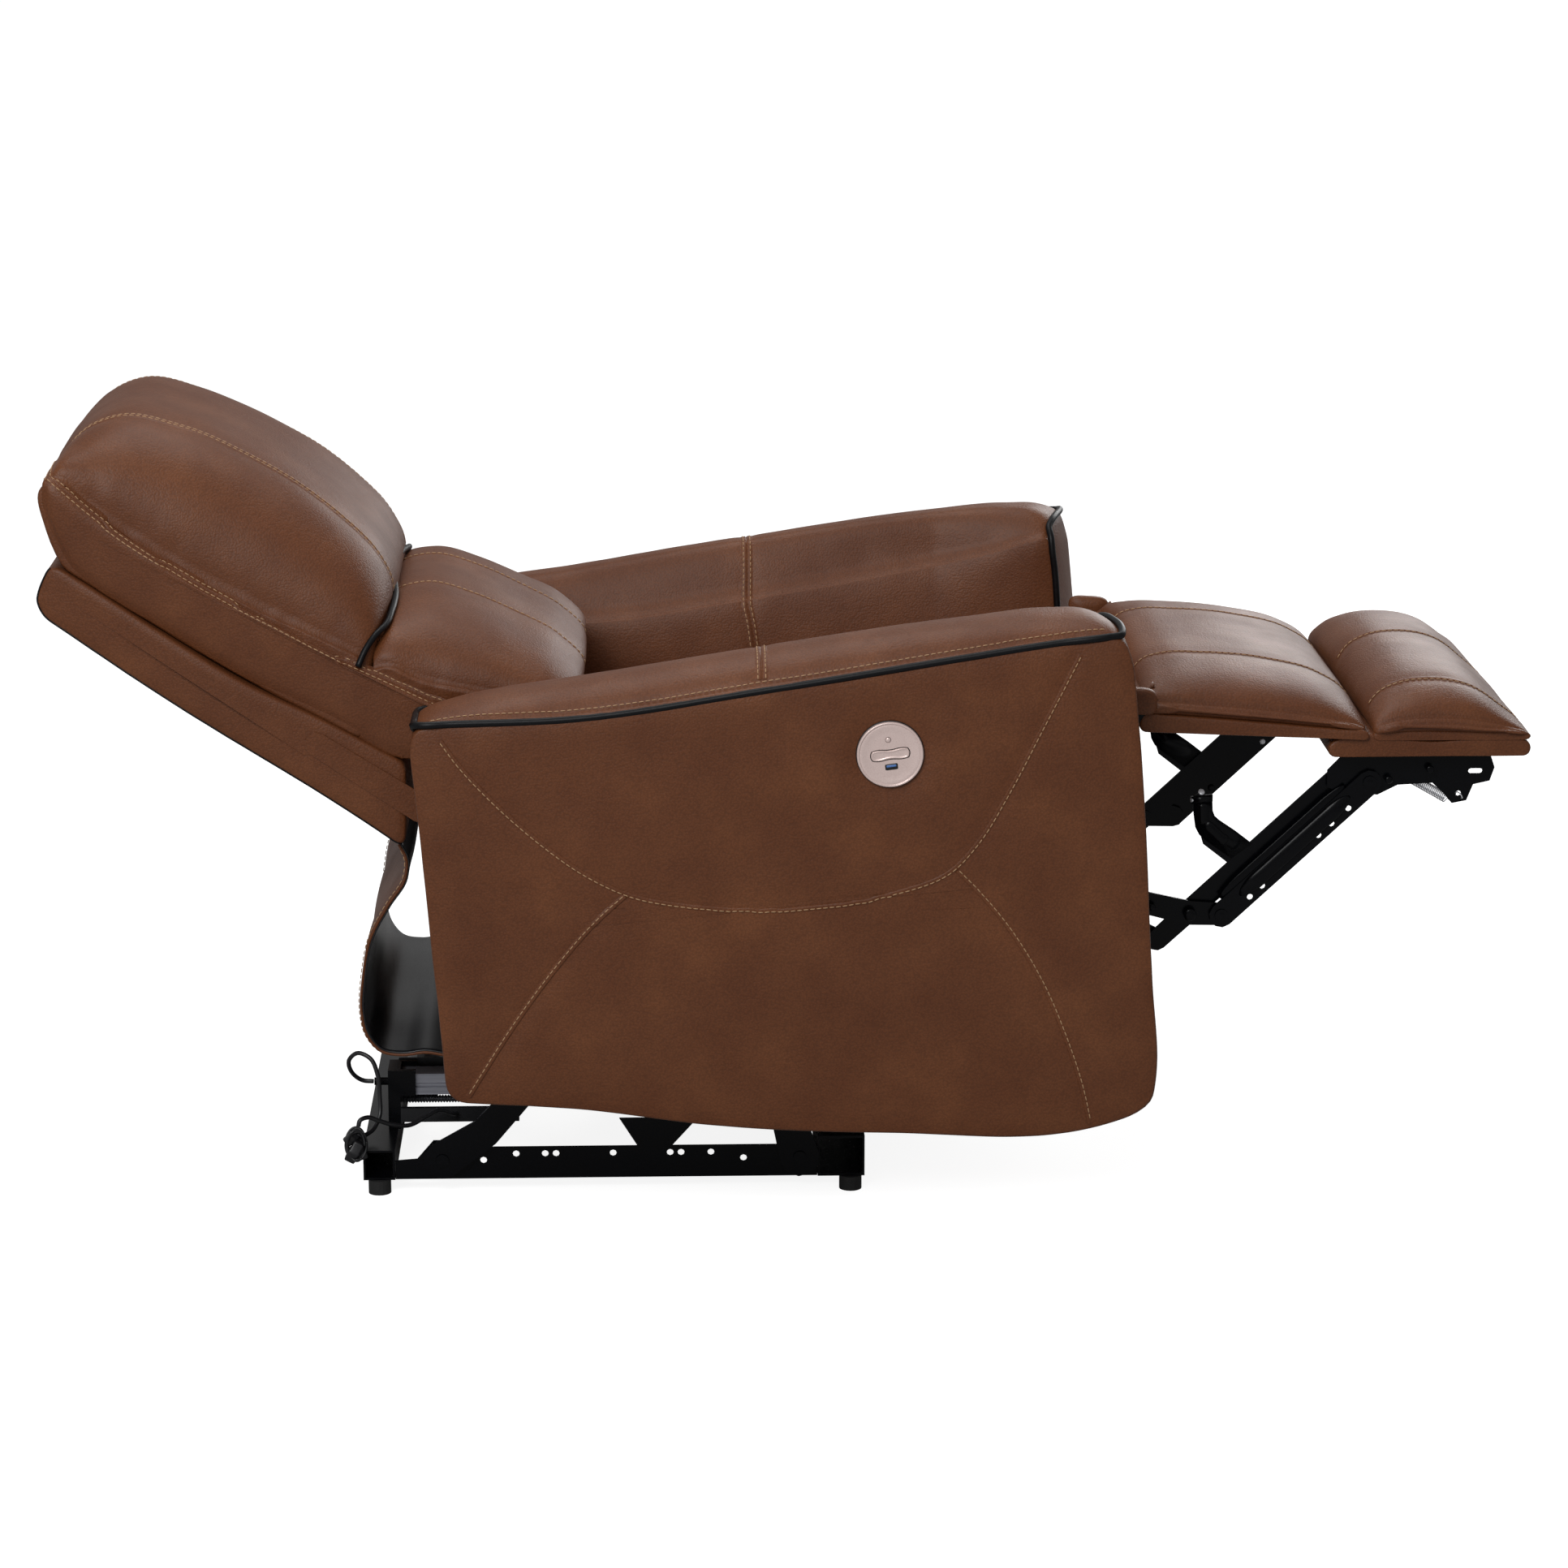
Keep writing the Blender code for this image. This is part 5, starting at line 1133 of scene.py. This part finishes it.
# %% Footrest seams
for name, obj, edge, crest, rows_at, seed in (
    ("calf", calf_top, CALF_EDGE, CALF_CREST, (-0.125, 0.125), 2),
    ("foot", foot_top, FOOT_EDGE, FOOT_CREST, (-0.19, 0.04), 6),
):
    lines = [pad_line(edge, crest, y, lambda x: pad_high.y, 1) for y in rows_at]
    dots = np.concatenate([evenly(smooth_line(line, 70), 70) for line in lines])

    def depth(co, no, dots=dots, name=name, seed=seed):
        out = foam(co, 1.2 * MM, seed=seed)
        out += -1.5 * MM * np.exp(-((away_from(co, dots) / (11 * MM)) ** 2))
        if name == "foot":
            middle = np.exp(-(((co[:, 1] + 0.07) / 0.085) ** 2))
            out += 0.55 * MM * middle * ripple(co, (0.06, 0.011, 0.03), 12)
        return out

    moved(obj, depth)
    dress(obj, name, name + "_pad")
    skin = skin_of(obj)
    parts = {"bands": [], "rows": []}
    for i, line in enumerate(lines):
        seam(f"{name}_row_{i}", skin, smooth_line(line, 110), ONE_ROW, [ROW_AT * 0.5], parts)
    gathered(name + "_top", name, parts)

# %% Footrest boards
for obj, body, node in (
    (calf_band, "calf", "calf_board"), (foot_board, "foot", "foot_board"), (foot_band, "foot", None),
):
    moved(obj, lambda co, no: 0.3 * MM * ripple(co, 0.05, 3))
    dress(obj, body, node)

# %% Hinge covers
# A leather tab, sewn to the seat's side, hides each of the footrest's hinges.
COVER_LAYERS = (  # height over the seat's side in millimetres, and scale
    (-3, 0.2), (-3, 0.94), (0, 1), (6, 1), (9, 0.96), (11, 0.84), (12, 0.6), (12.3, 0.02),
)
COVER_X, COVER_Y, COVER_Z, COVER_SLOPE = 0.3725, 0.2545, 0.5535, -0.06
for label, side in SIDES.items():
    rings = []
    for height, scale in COVER_LAYERS:
        u, v = boxy(24 * scale * MM, 15 * scale * MM, 0.5, 0.6, 48)
        y = np.full(len(u), side * (COVER_Y + height * MM))
        rings.append(np.stack([COVER_X + u, y, COVER_Z + COVER_SLOPE * u + v], axis=1))
    dress(loft("hinge_cover_" + label, rings, LEATHER), "carriage")


# %% [markdown]
# ## Back flap
# A skirt of the same hide, lined with black cloth, hangs from the back's lower edge, turns under the seat and is
# held to the seat frame. It crosses the back's hinge; here it is one fixed piece that rides on neither.

# %% Back flap
FLAP_ROUTE = (
    (-0.4235, 0.3955), (-0.4160, 0.3800), (-0.4170, 0.3580), (-0.4370, 0.3250), (-0.4560, 0.2890),
    (-0.4650, 0.2450), (-0.4675, 0.2060), (-0.4620, 0.1800), (-0.4480, 0.1630), (-0.4250, 0.1585),
    (-0.4000, 0.1610), (-0.3770, 0.1570),
)
FLAP_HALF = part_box("back_flap")[1].y
flap_line = smooth_line(FLAP_ROUTE, 90)
along = unit(np.gradient(flap_line, axis=0))
across = np.stack([along[:, 1], -along[:, 0]], axis=1)
free = np.sin(np.linspace(0, math.pi, len(flap_line))) ** 0.7  # how freely it waves: not at its sewn ends


def flap_layer(name, offsets, material):
    """A thin closed layer of the flap between two distances from its middle."""
    points = []
    for y in np.linspace(-FLAP_HALF, FLAP_HALF, 64):
        wave = 2.2 * MM * noise.noise(Vector((y * 9, 3.1, 0))) + 1.2 * MM * math.cos(y * 26)
        lines = [flap_line + across * (offset + wave * free)[:, None] for offset in offsets]
        points.append([[(x, y, z) for x, z in line] for line in lines])
    return thin_shell(name, points, material)


# %% Flap layers
FLAP_HIDE, FLAP_LINING = (-0.2 * MM, 2.6 * MM), (-2.0 * MM, -0.4 * MM)  # from the flap's middle, outwards
for name, offsets, material, slot in (
    ("flap_hide", FLAP_HIDE, LEATHER, "leather"), ("flap_lining", FLAP_LINING, LINING, "lining"),
):
    layer = flap_layer(name, offsets, material)
    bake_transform(layer)
    if slot == "leather":
        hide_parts("back_flap")
        skin = skin_of(layer)

# %% Flap stitching
parts = []
for side in (-1, 1):
    edge = [(x, side * (FLAP_HALF - 5 * MM), z) for x, z in flap_line + across * FLAP_HIDE[1]]
    parts.append(stitch_row(f"flap_row_{side}", skin, evenly(edge, 200), 0, THREAD))
flap_stitching = joined("flap_stitching", parts)
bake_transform(flap_stitching)


# %% [markdown]
# ## Metal, plastic and rubber
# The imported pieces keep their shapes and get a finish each. What is too fine for a solid is added here: rivet
# heads, the ribs pressed into the bars, coil springs, screws, the thread on the lead screw and the leads.

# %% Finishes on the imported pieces
FINISHES = {
    "painted_steel": STEEL, "zinc_steel": ZINC, "aluminium": ALUMINIUM, "black_plastic": PLASTIC,
    "rubber": RUBBER, "rose_metal": CHAMPAGNE, "piping": PIPING, "lining": LINING, "leather": LEATHER,
    "board": LEATHER,
}
for name, node in nodes.items():
    under_hide = name.startswith("back_bracket")
    for place in node.material_slots:
        place.material = LEATHER if under_hide else FINISHES[place.material.name.split(".")[0]]
print(len(FINISHES), "finishes on the packed pieces")

# %% Profiles of the small heads
# Each is a half outline: distance from the face and radius, in millimetres.
RIVET = ((-0.6, 7.0), (0.5, 7.0), (1.3, 6.4), (1.9, 4.8), (2.2, 2.6), (2.2, 0.3))
SMALL_RIVET = ((-0.5, 4.2), (0.4, 4.2), (1.2, 3.4), (1.5, 1.6), (1.5, 0.3))
SCREW_HEAD = ((-0.5, 3.6), (1.4, 3.6), (2.1, 3.1), (2.3, 2.2), (2.3, 0.3))
PIN_HEAD = ((-0.5, 2.4), (2.2, 2.4), (2.6, 1.6), (2.6, 0.3))
RIB_RISE = 9  # a rib's ends rise as a sine whose angle is this many times the share of its length
RIB_TIP = 0.02  # how much of its height a rib has at its very ends


# %% Small metal helpers
def turned(name, centre, way, profile, material, sides=28):
    """A round piece from a profile of (distance along way, radius), both in millimetres."""
    way = Vector(way).normalized()
    across = way.orthogonal().normalized()
    up, middle = way.cross(across), Vector(centre)
    rings = [circle(middle + way * out * MM, radius * MM, across, up, sides) for out, radius in profile]
    return loft(name, rings, material)


def rivet(point, face_y, side, profile):
    """A rivet's head at an (x, z) point on the face at that y."""
    return turned("rivet", (point[0], face_y, point[1]), (0, side, 0), profile, STEEL)


def rib(start, end, half, height, face_y, side):
    """A ridge pressed out of a bar, between two (x, z) points on the face at that y."""
    start, end = Vector(start), Vector(end)
    way = (end - start).normalized()
    across, rings = Vector((way.y, -way.x)), []
    for t in np.linspace(0, 1, 30):
        ease = math.sin(min(RIB_RISE * min(t, 1 - t), math.pi / 2)) + RIB_TIP
        middle, ring = start.lerp(end, t), []
        for angle in np.linspace(0, math.pi, 14):
            spot = middle + across * half * math.cos(angle) * ease**0.5
            ring.append((spot.x, face_y + side * height * math.sin(angle) ** 0.7 * ease, spot.y))
        for share in (-0.5, 0.5):
            spot = middle + across * half * share
            ring.append((spot.x, face_y - side * MM, spot.y))
        rings.append(ring)
    return loft("rib", rings, STEEL)


def pressed(points, face_y, side, low, high):
    """A flat steel piece from (x, z) points, between two heights over the face at that y."""
    rings = [[(x, face_y + side * height, z) for x, z in points] for height in (low, high)]
    return loft("pressed", rings, STEEL)


def outer_face(node, side):
    low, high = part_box(node)
    return high.y if side > 0 else low.y


# %% Linkage points
JOINT_INNER, JOINT_OUTER = (0.4403, 0.3077), (0.4750, 0.3061)
TOP_OUTER = (0.6343, 0.4553)
LINK_END = (0.398, 0.3165)
OTTOMAN_RIVETS = ((0.655, 0.4585), (0.700, 0.4700))
BRACKET = (  # the cranked plate between the two sides' bars
    (0.4434, 0.4332), (0.4436, 0.4180), (0.4458, 0.4030), (0.4500, 0.3950), (0.4577, 0.3882),
    (0.4859, 0.3678), (0.5087, 0.3842), (0.4896, 0.3990), (0.4720, 0.4110), (0.4669, 0.4157),
    (0.4645, 0.4220), (0.4639, 0.4321),
)
BRACKET_RIBS = (  # start, end, half width
    ((0.4810, 0.3850), (0.4562, 0.4085), 5.5 * MM), ((0.4550, 0.4060), (0.4540, 0.4310), 5.2 * MM),
)
BRACKET_RIVET = (0.4780, 0.3910)
TAB = ((0.4405, 0.4300), (0.4405, 0.4375), (0.4640, 0.4400), (0.4640, 0.4325))
TAB_BACK = 1.5 * MM  # the tab's middle lies this far behind the inner bar's face
BRACKET_SCREWS = (  # x, z, the way it points (its y is towards the chair's side), profile, sides
    (0.4515, 0.4425, (-0.1, 0.75, 0.65), SCREW_HEAD, 20), (0.4425, 0.4340, (-0.9, 0.4, 0.1), PIN_HEAD, 16),
)


def on_outer_bar(from_joint, from_top, across):
    """The ends of a ridge on the outer bar, by their distances from its joints and from its middle line."""
    start, end = Vector(JOINT_OUTER), Vector(TOP_OUTER)
    way = (end - start).normalized()
    off = Vector((way.y, -way.x)) * across
    return start + way * from_joint + off, end - way * from_top + off


# %% Linkage details
for label, side in SIDES.items():
    bars = ("outer_bar_", "lower_link_", "inner_bar_")
    outer, lower, inner = (outer_face(bar + label, side) for bar in bars)
    made = joined("outer_bar_details_" + label, [
        rib(*on_outer_bar(30 * MM, 26 * MM, -3.5 * MM), 9 * MM, 4.6 * MM, outer, side),
        rib(*on_outer_bar(12 * MM, 22 * MM, -15.5 * MM), 6 * MM, 1.2 * MM, outer - side * 2.5 * MM, side),
        rivet(JOINT_OUTER, outer, side, RIVET),
        rivet(TOP_OUTER, outer, side, RIVET),
    ])
    dress(made, "outer_bars")
    made = [rivet(JOINT_INNER, lower, side, RIVET), rivet(LINK_END, lower, side, SMALL_RIVET)]
    dress(joined("lower_link_details_" + label, made), "lower_links")
    made = [rivet(point, lower, side, SMALL_RIVET) for point in OTTOMAN_RIVETS]
    dress(joined("ottoman_rivets_" + label, made), "foot")
    tab_y = inner - side * TAB_BACK
    made = joined("inner_bar_details_" + label, [
        pressed(BRACKET, inner, side, -2.8 * MM, 0.4 * MM),
        *(rib(start, end, half, 2.3 * MM, inner, side) for start, end, half in BRACKET_RIBS),
        pressed(TAB, tab_y, side, -2.5 * MM, 3.4 * MM),
        rivet(BRACKET_RIVET, inner, side, SMALL_RIVET),
    ])
    dress(made, "inner_bars")
    screws = [
        turned("screw", (x, tab_y + side * MM, z), (way[0], side * way[1], way[2]), profile, ZINC, sides)
        for x, z, way, profile, sides in BRACKET_SCREWS
    ]
    dress(joined("bracket_screws_" + label, screws), "inner_bars")

# %% Used holes
# The left outer bar has a screw and a rivet in two of its holes.
hole_y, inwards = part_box("outer_bar_left")[0].y, (0, -1, 0)
screw = turned("used_hole_screw", (0.5801, hole_y, 0.3960), inwards, SCREW_HEAD, ZINC, 20)
dress(screw, "outer_bars")
screw = turned("used_hole_rivet", (0.5200, hole_y, 0.3396), inwards, SMALL_RIVET, STEEL)
dress(screw, "outer_bars")

# %% [markdown]
# ### Springs
# Each ottoman bracket has an extension spring: closed coils, a hook over a tab at one end and a hook through
# the bracket's small hole at the other.

# %% Springs
COIL_R, WIRE_R, COIL_PITCH = 5.2 * MM, 0.7 * MM, 2.1 * MM
COIL_ENDS = ((0.6560, 0.4710), (0.7215, 0.4335))
SPRING_HOLE = (0.7330, 0.4410)
HOOK = (  # the hook's points beside the hole: x, y towards the chair's side, z, in millimetres
    (-2, -3, 2.5), (0.5, 3.0, 1.5), (3, 2.5, -3), (2.5, -2, -4),
)
for label, side in SIDES.items():
    low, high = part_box("ottoman_spring_" + label)
    start, end = (np.array((x, (low.y + high.y) / 2, z)) for x, z in COIL_ENDS)
    way = unit(end - start)
    up = np.cross(way, (0, 1, 0))
    coils = np.linalg.norm(end - start) / COIL_PITCH
    phase = np.linspace(0, 2 * math.pi * coils, int(coils * 12))
    coil = start + (end - start) * (phase / phase[-1])[:, None]
    coil = coil + COIL_R * (np.cos(phase)[:, None] * up + np.sin(phase)[:, None] * np.array((0, 1, 0)))
    bracket_y = outer_face("ottoman_bracket_" + label, side) - side * 1.5 * MM
    hole = np.array((SPRING_HOLE[0], bracket_y, SPRING_HOLE[1]))
    hook = [coil[-1], end + way * 3 * MM, end + way * 7 * MM + np.array((0, side * 2, 2)) * MM]
    hook += [hole + np.array((x, side * y, z)) * MM for x, y, z in HOOK]
    catch = [start - way * 8 * MM + up * 1 * MM, start - way * 4 * MM, coil[0]]
    path = np.concatenate([smooth_line(catch, 12)[:-1], coil, smooth_line(hook, 30)[1:]])
    spring = tube("coil_spring_" + label, path, WIRE_R, ZINC, sides=6)
    dress(spring, "foot", "ottoman_spring_" + label)

# %% Lead screw
low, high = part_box("lead_screw")
SCREW_PITCH, SCREW_GROOVE = 3.2 * MM, 1.3 * MM
middle_y, middle_z, radius = (low.y + high.y) / 2, (low.z + high.z) / 2, (high.z - low.z) / 2
rings, turn = [], round_angles(16)
for x in np.arange(low.x, high.x, SCREW_PITCH / 6):
    wave = np.abs(((x / SCREW_PITCH + turn / (2 * math.pi)) % 1) * 2 - 1)
    r = radius - SCREW_GROOVE * np.clip(1.6 * wave - 0.3, 0, 1)
    y, z = middle_y + r * np.cos(turn), middle_z + r * np.sin(turn)
    rings.append(np.stack([np.full(len(turn), x), y, z], axis=1))
dress(loft("lead_screw_thread", rings, SCREW), "base", "lead_screw")

# %% [markdown]
# ### Leads
# The motor's lead leaves its housing, makes a loop and runs down to a bundle of plugs behind the rear tube.
# The hand switch's lead leaves the bundle and goes forward under the seat. Both points lists are in metres.

# %% Leads
LEAD_R = 2.5 * MM
MOTOR_LEAD = (
    (-0.4628, -0.1550, 0.1010), (-0.4740, -0.1550, 0.1020), (-0.4870, -0.1630, 0.1150),
    (-0.4890, -0.1700, 0.1300), (-0.4780, -0.1780, 0.1410), (-0.4640, -0.1840, 0.1360),
    (-0.4565, -0.1880, 0.1190), (-0.4545, -0.1900, 0.0940), (-0.4545, -0.1960, 0.0740),
    (-0.4610, -0.2080, 0.0620), (-0.4710, -0.2250, 0.0590), (-0.4755, -0.2490, 0.0590),
)
SWITCH_LEAD = (
    (-0.4740, -0.2630, 0.0827), (-0.4725, -0.2622, 0.0885), (-0.4650, -0.2560, 0.0905),
    (-0.4530, -0.2470, 0.0840), (-0.4370, -0.2360, 0.0755), (-0.4200, -0.2250, 0.0715),
    (-0.4020, -0.2120, 0.0770), (-0.3880, -0.2010, 0.0810), (-0.3730, -0.1910, 0.0735),
    (-0.3695, -0.1795, 0.0700),
)
for name, route in (("motor_lead", MOTOR_LEAD), ("switch_lead", SWITCH_LEAD)):
    path = smooth_line(route, 150)
    lead = tube(name + "_cable", path, LEAD_R, PLASTIC, sides=12)
    length, points = float(travelled(path)[-1]), [tuple(p) for p in path]
    dress(lead, "base", name)
    print(name, "length", round(length, 4))

# %% [markdown]
# ### Plugs
# Three moulded plugs and the slack of their thin leads hang together behind the rear tube. Each plug is a box
# with soft edges and two shallow steps, and the slack is six bent loops.

# %% Plugs
PLUG_STEPS = (  # depth and width, as shares of the half length and the half width
    (-1, 0.72), (-0.96, 0.9), (-0.8, 0.96), (-0.3, 0.97), (-0.28, 1), (0.1, 1), (0.12, 0.9), (0.9, 0.88),
    (1, 0.7),
)
PLUGS = (  # place from the bundle's middle, size and tilt in degrees
    ((-0.002, -0.004, -0.006), (0.013, 0.011, 0.026), (10, 28, 0)),
    ((0.003, 0.004, -0.004), (0.012, 0.010, 0.028), (-12, -12, 20)),
    ((-0.004, 0.000, 0.009), (0.011, 0.010, 0.020), (0, 50, 10)),
)
LOOPS, LOOP_TURN, LOOP_R = 6, 2 * math.pi * 0.86, 1.35 * MM
bundle_low, bundle_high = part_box("connector_bundle")
bundle_middle = (bundle_low + bundle_high) / 2


def plug(centre, size, tilt):
    half, rings = Vector(size) / 2, []
    for depth, grow in PLUG_STEPS:
        x, y = boxy(half.x * grow, half.y * grow, 0.35, 0.35, 24)
        rings.append(np.stack([x, y, np.full(len(x), depth * half.z)], axis=1))
    made = loft("plug", rings, PLASTIC)
    turned_to = Euler([math.radians(a) for a in tilt]).to_matrix().to_4x4()
    made.data.transform(Matrix.Translation(centre) @ turned_to)
    return made


def slack(i):
    """One loop of slack; each starts a little further round and differs in width, height and place."""
    phase = np.linspace(0, LOOP_TURN, 46) + i * 1.1
    wide, tall = 0.0095 + 0.0007 * (i % 3), 0.0185 - 0.0016 * (i % 4)
    ring = np.stack([
        bundle_middle.x + wide * np.cos(phase) + 0.0012 * math.sin(i * 2.1),
        bundle_middle.y - 0.009 + 0.0036 * i + 0.0022 * np.sin(2 * phase + i),
        bundle_middle.z + tall * np.sin(phase) * np.cos(0.3) + 0.002 * math.cos(i),
    ], axis=1)
    return tube("slack", ring, LOOP_R, PLASTIC, sides=8)


parts = [plug(bundle_middle + Vector(at), size, tilt) for at, size, tilt in PLUGS]
parts += [slack(i) for i in range(LOOPS)]
dress(joined("plug_bundle", parts), "base", "connector_bundle")


# %% [markdown]
# ## Hand switch
# The round plate in the right arm is dished, with a rolled rim. A dog-bone rocker sits in a groove in its
# middle, with a small button above and a USB socket below. Everything here is given in millimetres from the
# plate's middle and outwards from its back, so one helper turns such a place into metres.

# %% Switch plate
OUT, PLATE_BACK = (0, -1, 0), plate_high.y
DISH = 3.1  # the dish's floor over the plate's back


def on_plate(dx, dz, out=DISH):
    """A point over the plate, in millimetres from its middle and from its back."""
    return Vector((SWITCH.x + dx * MM, PLATE_BACK - out * MM, SWITCH.z + dz * MM))


PLATE_PROFILE = (
    (0, 34.0), (0, 35.2), (3.4, 35.2), (4.6, 34.9), (5.2, 34.2), (5.2, 33.3), (4.7, 32.7), (4.0, 32.4),
    (4.4, 31.6), (4.5, 30.8), (4.1, 28.6), (3.5, 25.5), (3.2, 22.5), (DISH, 20), (DISH, 12), (DISH, 0.3),
)
# The black ring, a little wider than the plate and behind its rim, is painted shade: the dark outline where the
# plate meets the hide.
SHADE_RING_PROFILE = ((0, 33), (0, 36.1), (2.2, 36.1), (2.2, 33))
plate = turned("switch_plate", on_plate(0, 0, 0), OUT, PLATE_PROFILE, CHAMPAGNE, 96)
dress(plate, "carriage", "control_disc")
shade_ring = turned("switch_shade_ring", on_plate(0, 0, -1), OUT, SHADE_RING_PROFILE, PLASTIC, 96)
dress(shade_ring, "carriage")

# %% [markdown]
# ### Rocker
# The rocker's outline is two round lobes and a waist, tilted a little. Its key is a loft of that outline, and so
# is a black band round it, which is painted shade in the groove; each is grown or shrunk from layer to layer.

# %% Rocker
LOBE_R, WAIST, REACH, TILT = 7.2, 4.4, 13.0, math.radians(7)
# The groove is drawn as a black band just over the dish: painted shade in the gap round the rocker.
GROOVE_SHADE_LAYERS = (  # height over the plate's back, how much the outline grows, its scale
    (DISH - 1, 1.1, 1), (DISH + 0.12, 1.1, 1), (DISH + 0.12, 0.9, 1), (DISH + 0.12, 0.2, 1),
    (DISH - 0.8, 0.1, 1), (DISH - 0.8, 0, 0.3),
)
KEY_LAYERS = (
    (DISH - 0.5, 0, 1), (DISH + 1.0, 0, 1), (DISH + 1.7, -0.5, 1), (DISH + 1.8, -1.1, 1),
    (DISH + 1.3, -1.9, 1), (DISH + 1.0, -2.6, 1), (DISH + 0.95, -3.0, 0.6), (DISH + 0.95, -3.0, 0.05),
)


def tilted(dx, dz):
    return dx * math.cos(TILT) - dz * math.sin(TILT), dx * math.sin(TILT) + dz * math.cos(TILT)


def dog_bone(grow):
    """The rocker's outline, as offsets in millimetres: two lobes and a waist, grown all round."""
    ring = []
    for t in round_angles(72):
        reach = REACH * np.clip(1.35 * math.cos(t), -1, 1)
        inward = abs(reach) / REACH
        half = WAIST + (LOBE_R - WAIST) * inward**2 + grow
        dx = reach + (LOBE_R + grow) * math.cos(t) * inward**6
        dz = half * math.copysign(abs(math.sin(t)) ** (0.35 + 0.65 * inward**6), math.sin(t))
        ring.append(tilted(dx, dz))
    return ring


def bone_loft(name, layers, material):
    rings = []
    for out, grow, scale in layers:
        rings.append([on_plate(dx * scale, dz * scale, out) for dx, dz in dog_bone(grow)])
    return loft(name, rings, material)


dress(bone_loft("rocker_groove_shade", GROOVE_SHADE_LAYERS, PLASTIC), "carriage")
dress(bone_loft("rocker_key", KEY_LAYERS, CHAMPAGNE), "rocker", "rocker_button")

# %% Small button
DOME_AT = on_plate(-2.3, 15.8, DISH - 0.4)
DOME_PROFILE = ((0, 2.7), (0.9, 2.7), (1.4, 2.3), (1.8, 1.5), (2.0, 0.3))
dome = turned("dome_button", DOME_AT, OUT, DOME_PROFILE, CHAMPAGNE, 32)
dress(dome, "carriage", "indicator_dome")
# A black ring round the dome, just wider than it, is painted shade in the gap round the button.
dome_shade = turned("dome_shade_ring", DOME_AT, OUT, ((0, 3.1), (0.48, 3.1), (0.48, 0.3)), PLASTIC, 32)
dress(dome_shade, "carriage")

# %% USB socket
SOCKET_DX, SOCKET_DZ, SOCKET_POWER = 1.5, -13.2, 0.28


def socket_box(name, half_x, half_z, front, material, lift=0.0):
    """A tilted box with soft corners, out of the plate up to that height."""
    rings = []
    for out, scale in ((DISH - 2, 1), (front - 0.15, 1), (front, 0.96), (front, 0.05)):
        across, up = boxy(half_x * scale, half_z * scale, SOCKET_POWER, SOCKET_POWER, 28)
        dx, dz = tilted(across, up + lift)
        rings.append([on_plate(SOCKET_DX + x, SOCKET_DZ + z, out) for x, z in zip(dx, dz)])
    return loft(name, rings, material)


dress(socket_box("usb_shell", 6.8, 3.3, DISH + 0.35, PLASTIC), "carriage", "usb_socket")
dress(socket_box("usb_tongue", 5.2, 1.1, DISH + 0.6, BLUE, 0.9), "carriage")


# %% [markdown]
# ## Size
# The size of the dressed chair is printed. The dressed chair has to stay the size of the imported
# one.

# %% Finish
low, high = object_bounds()
print("size", [round(v, 3) for v in high - low])
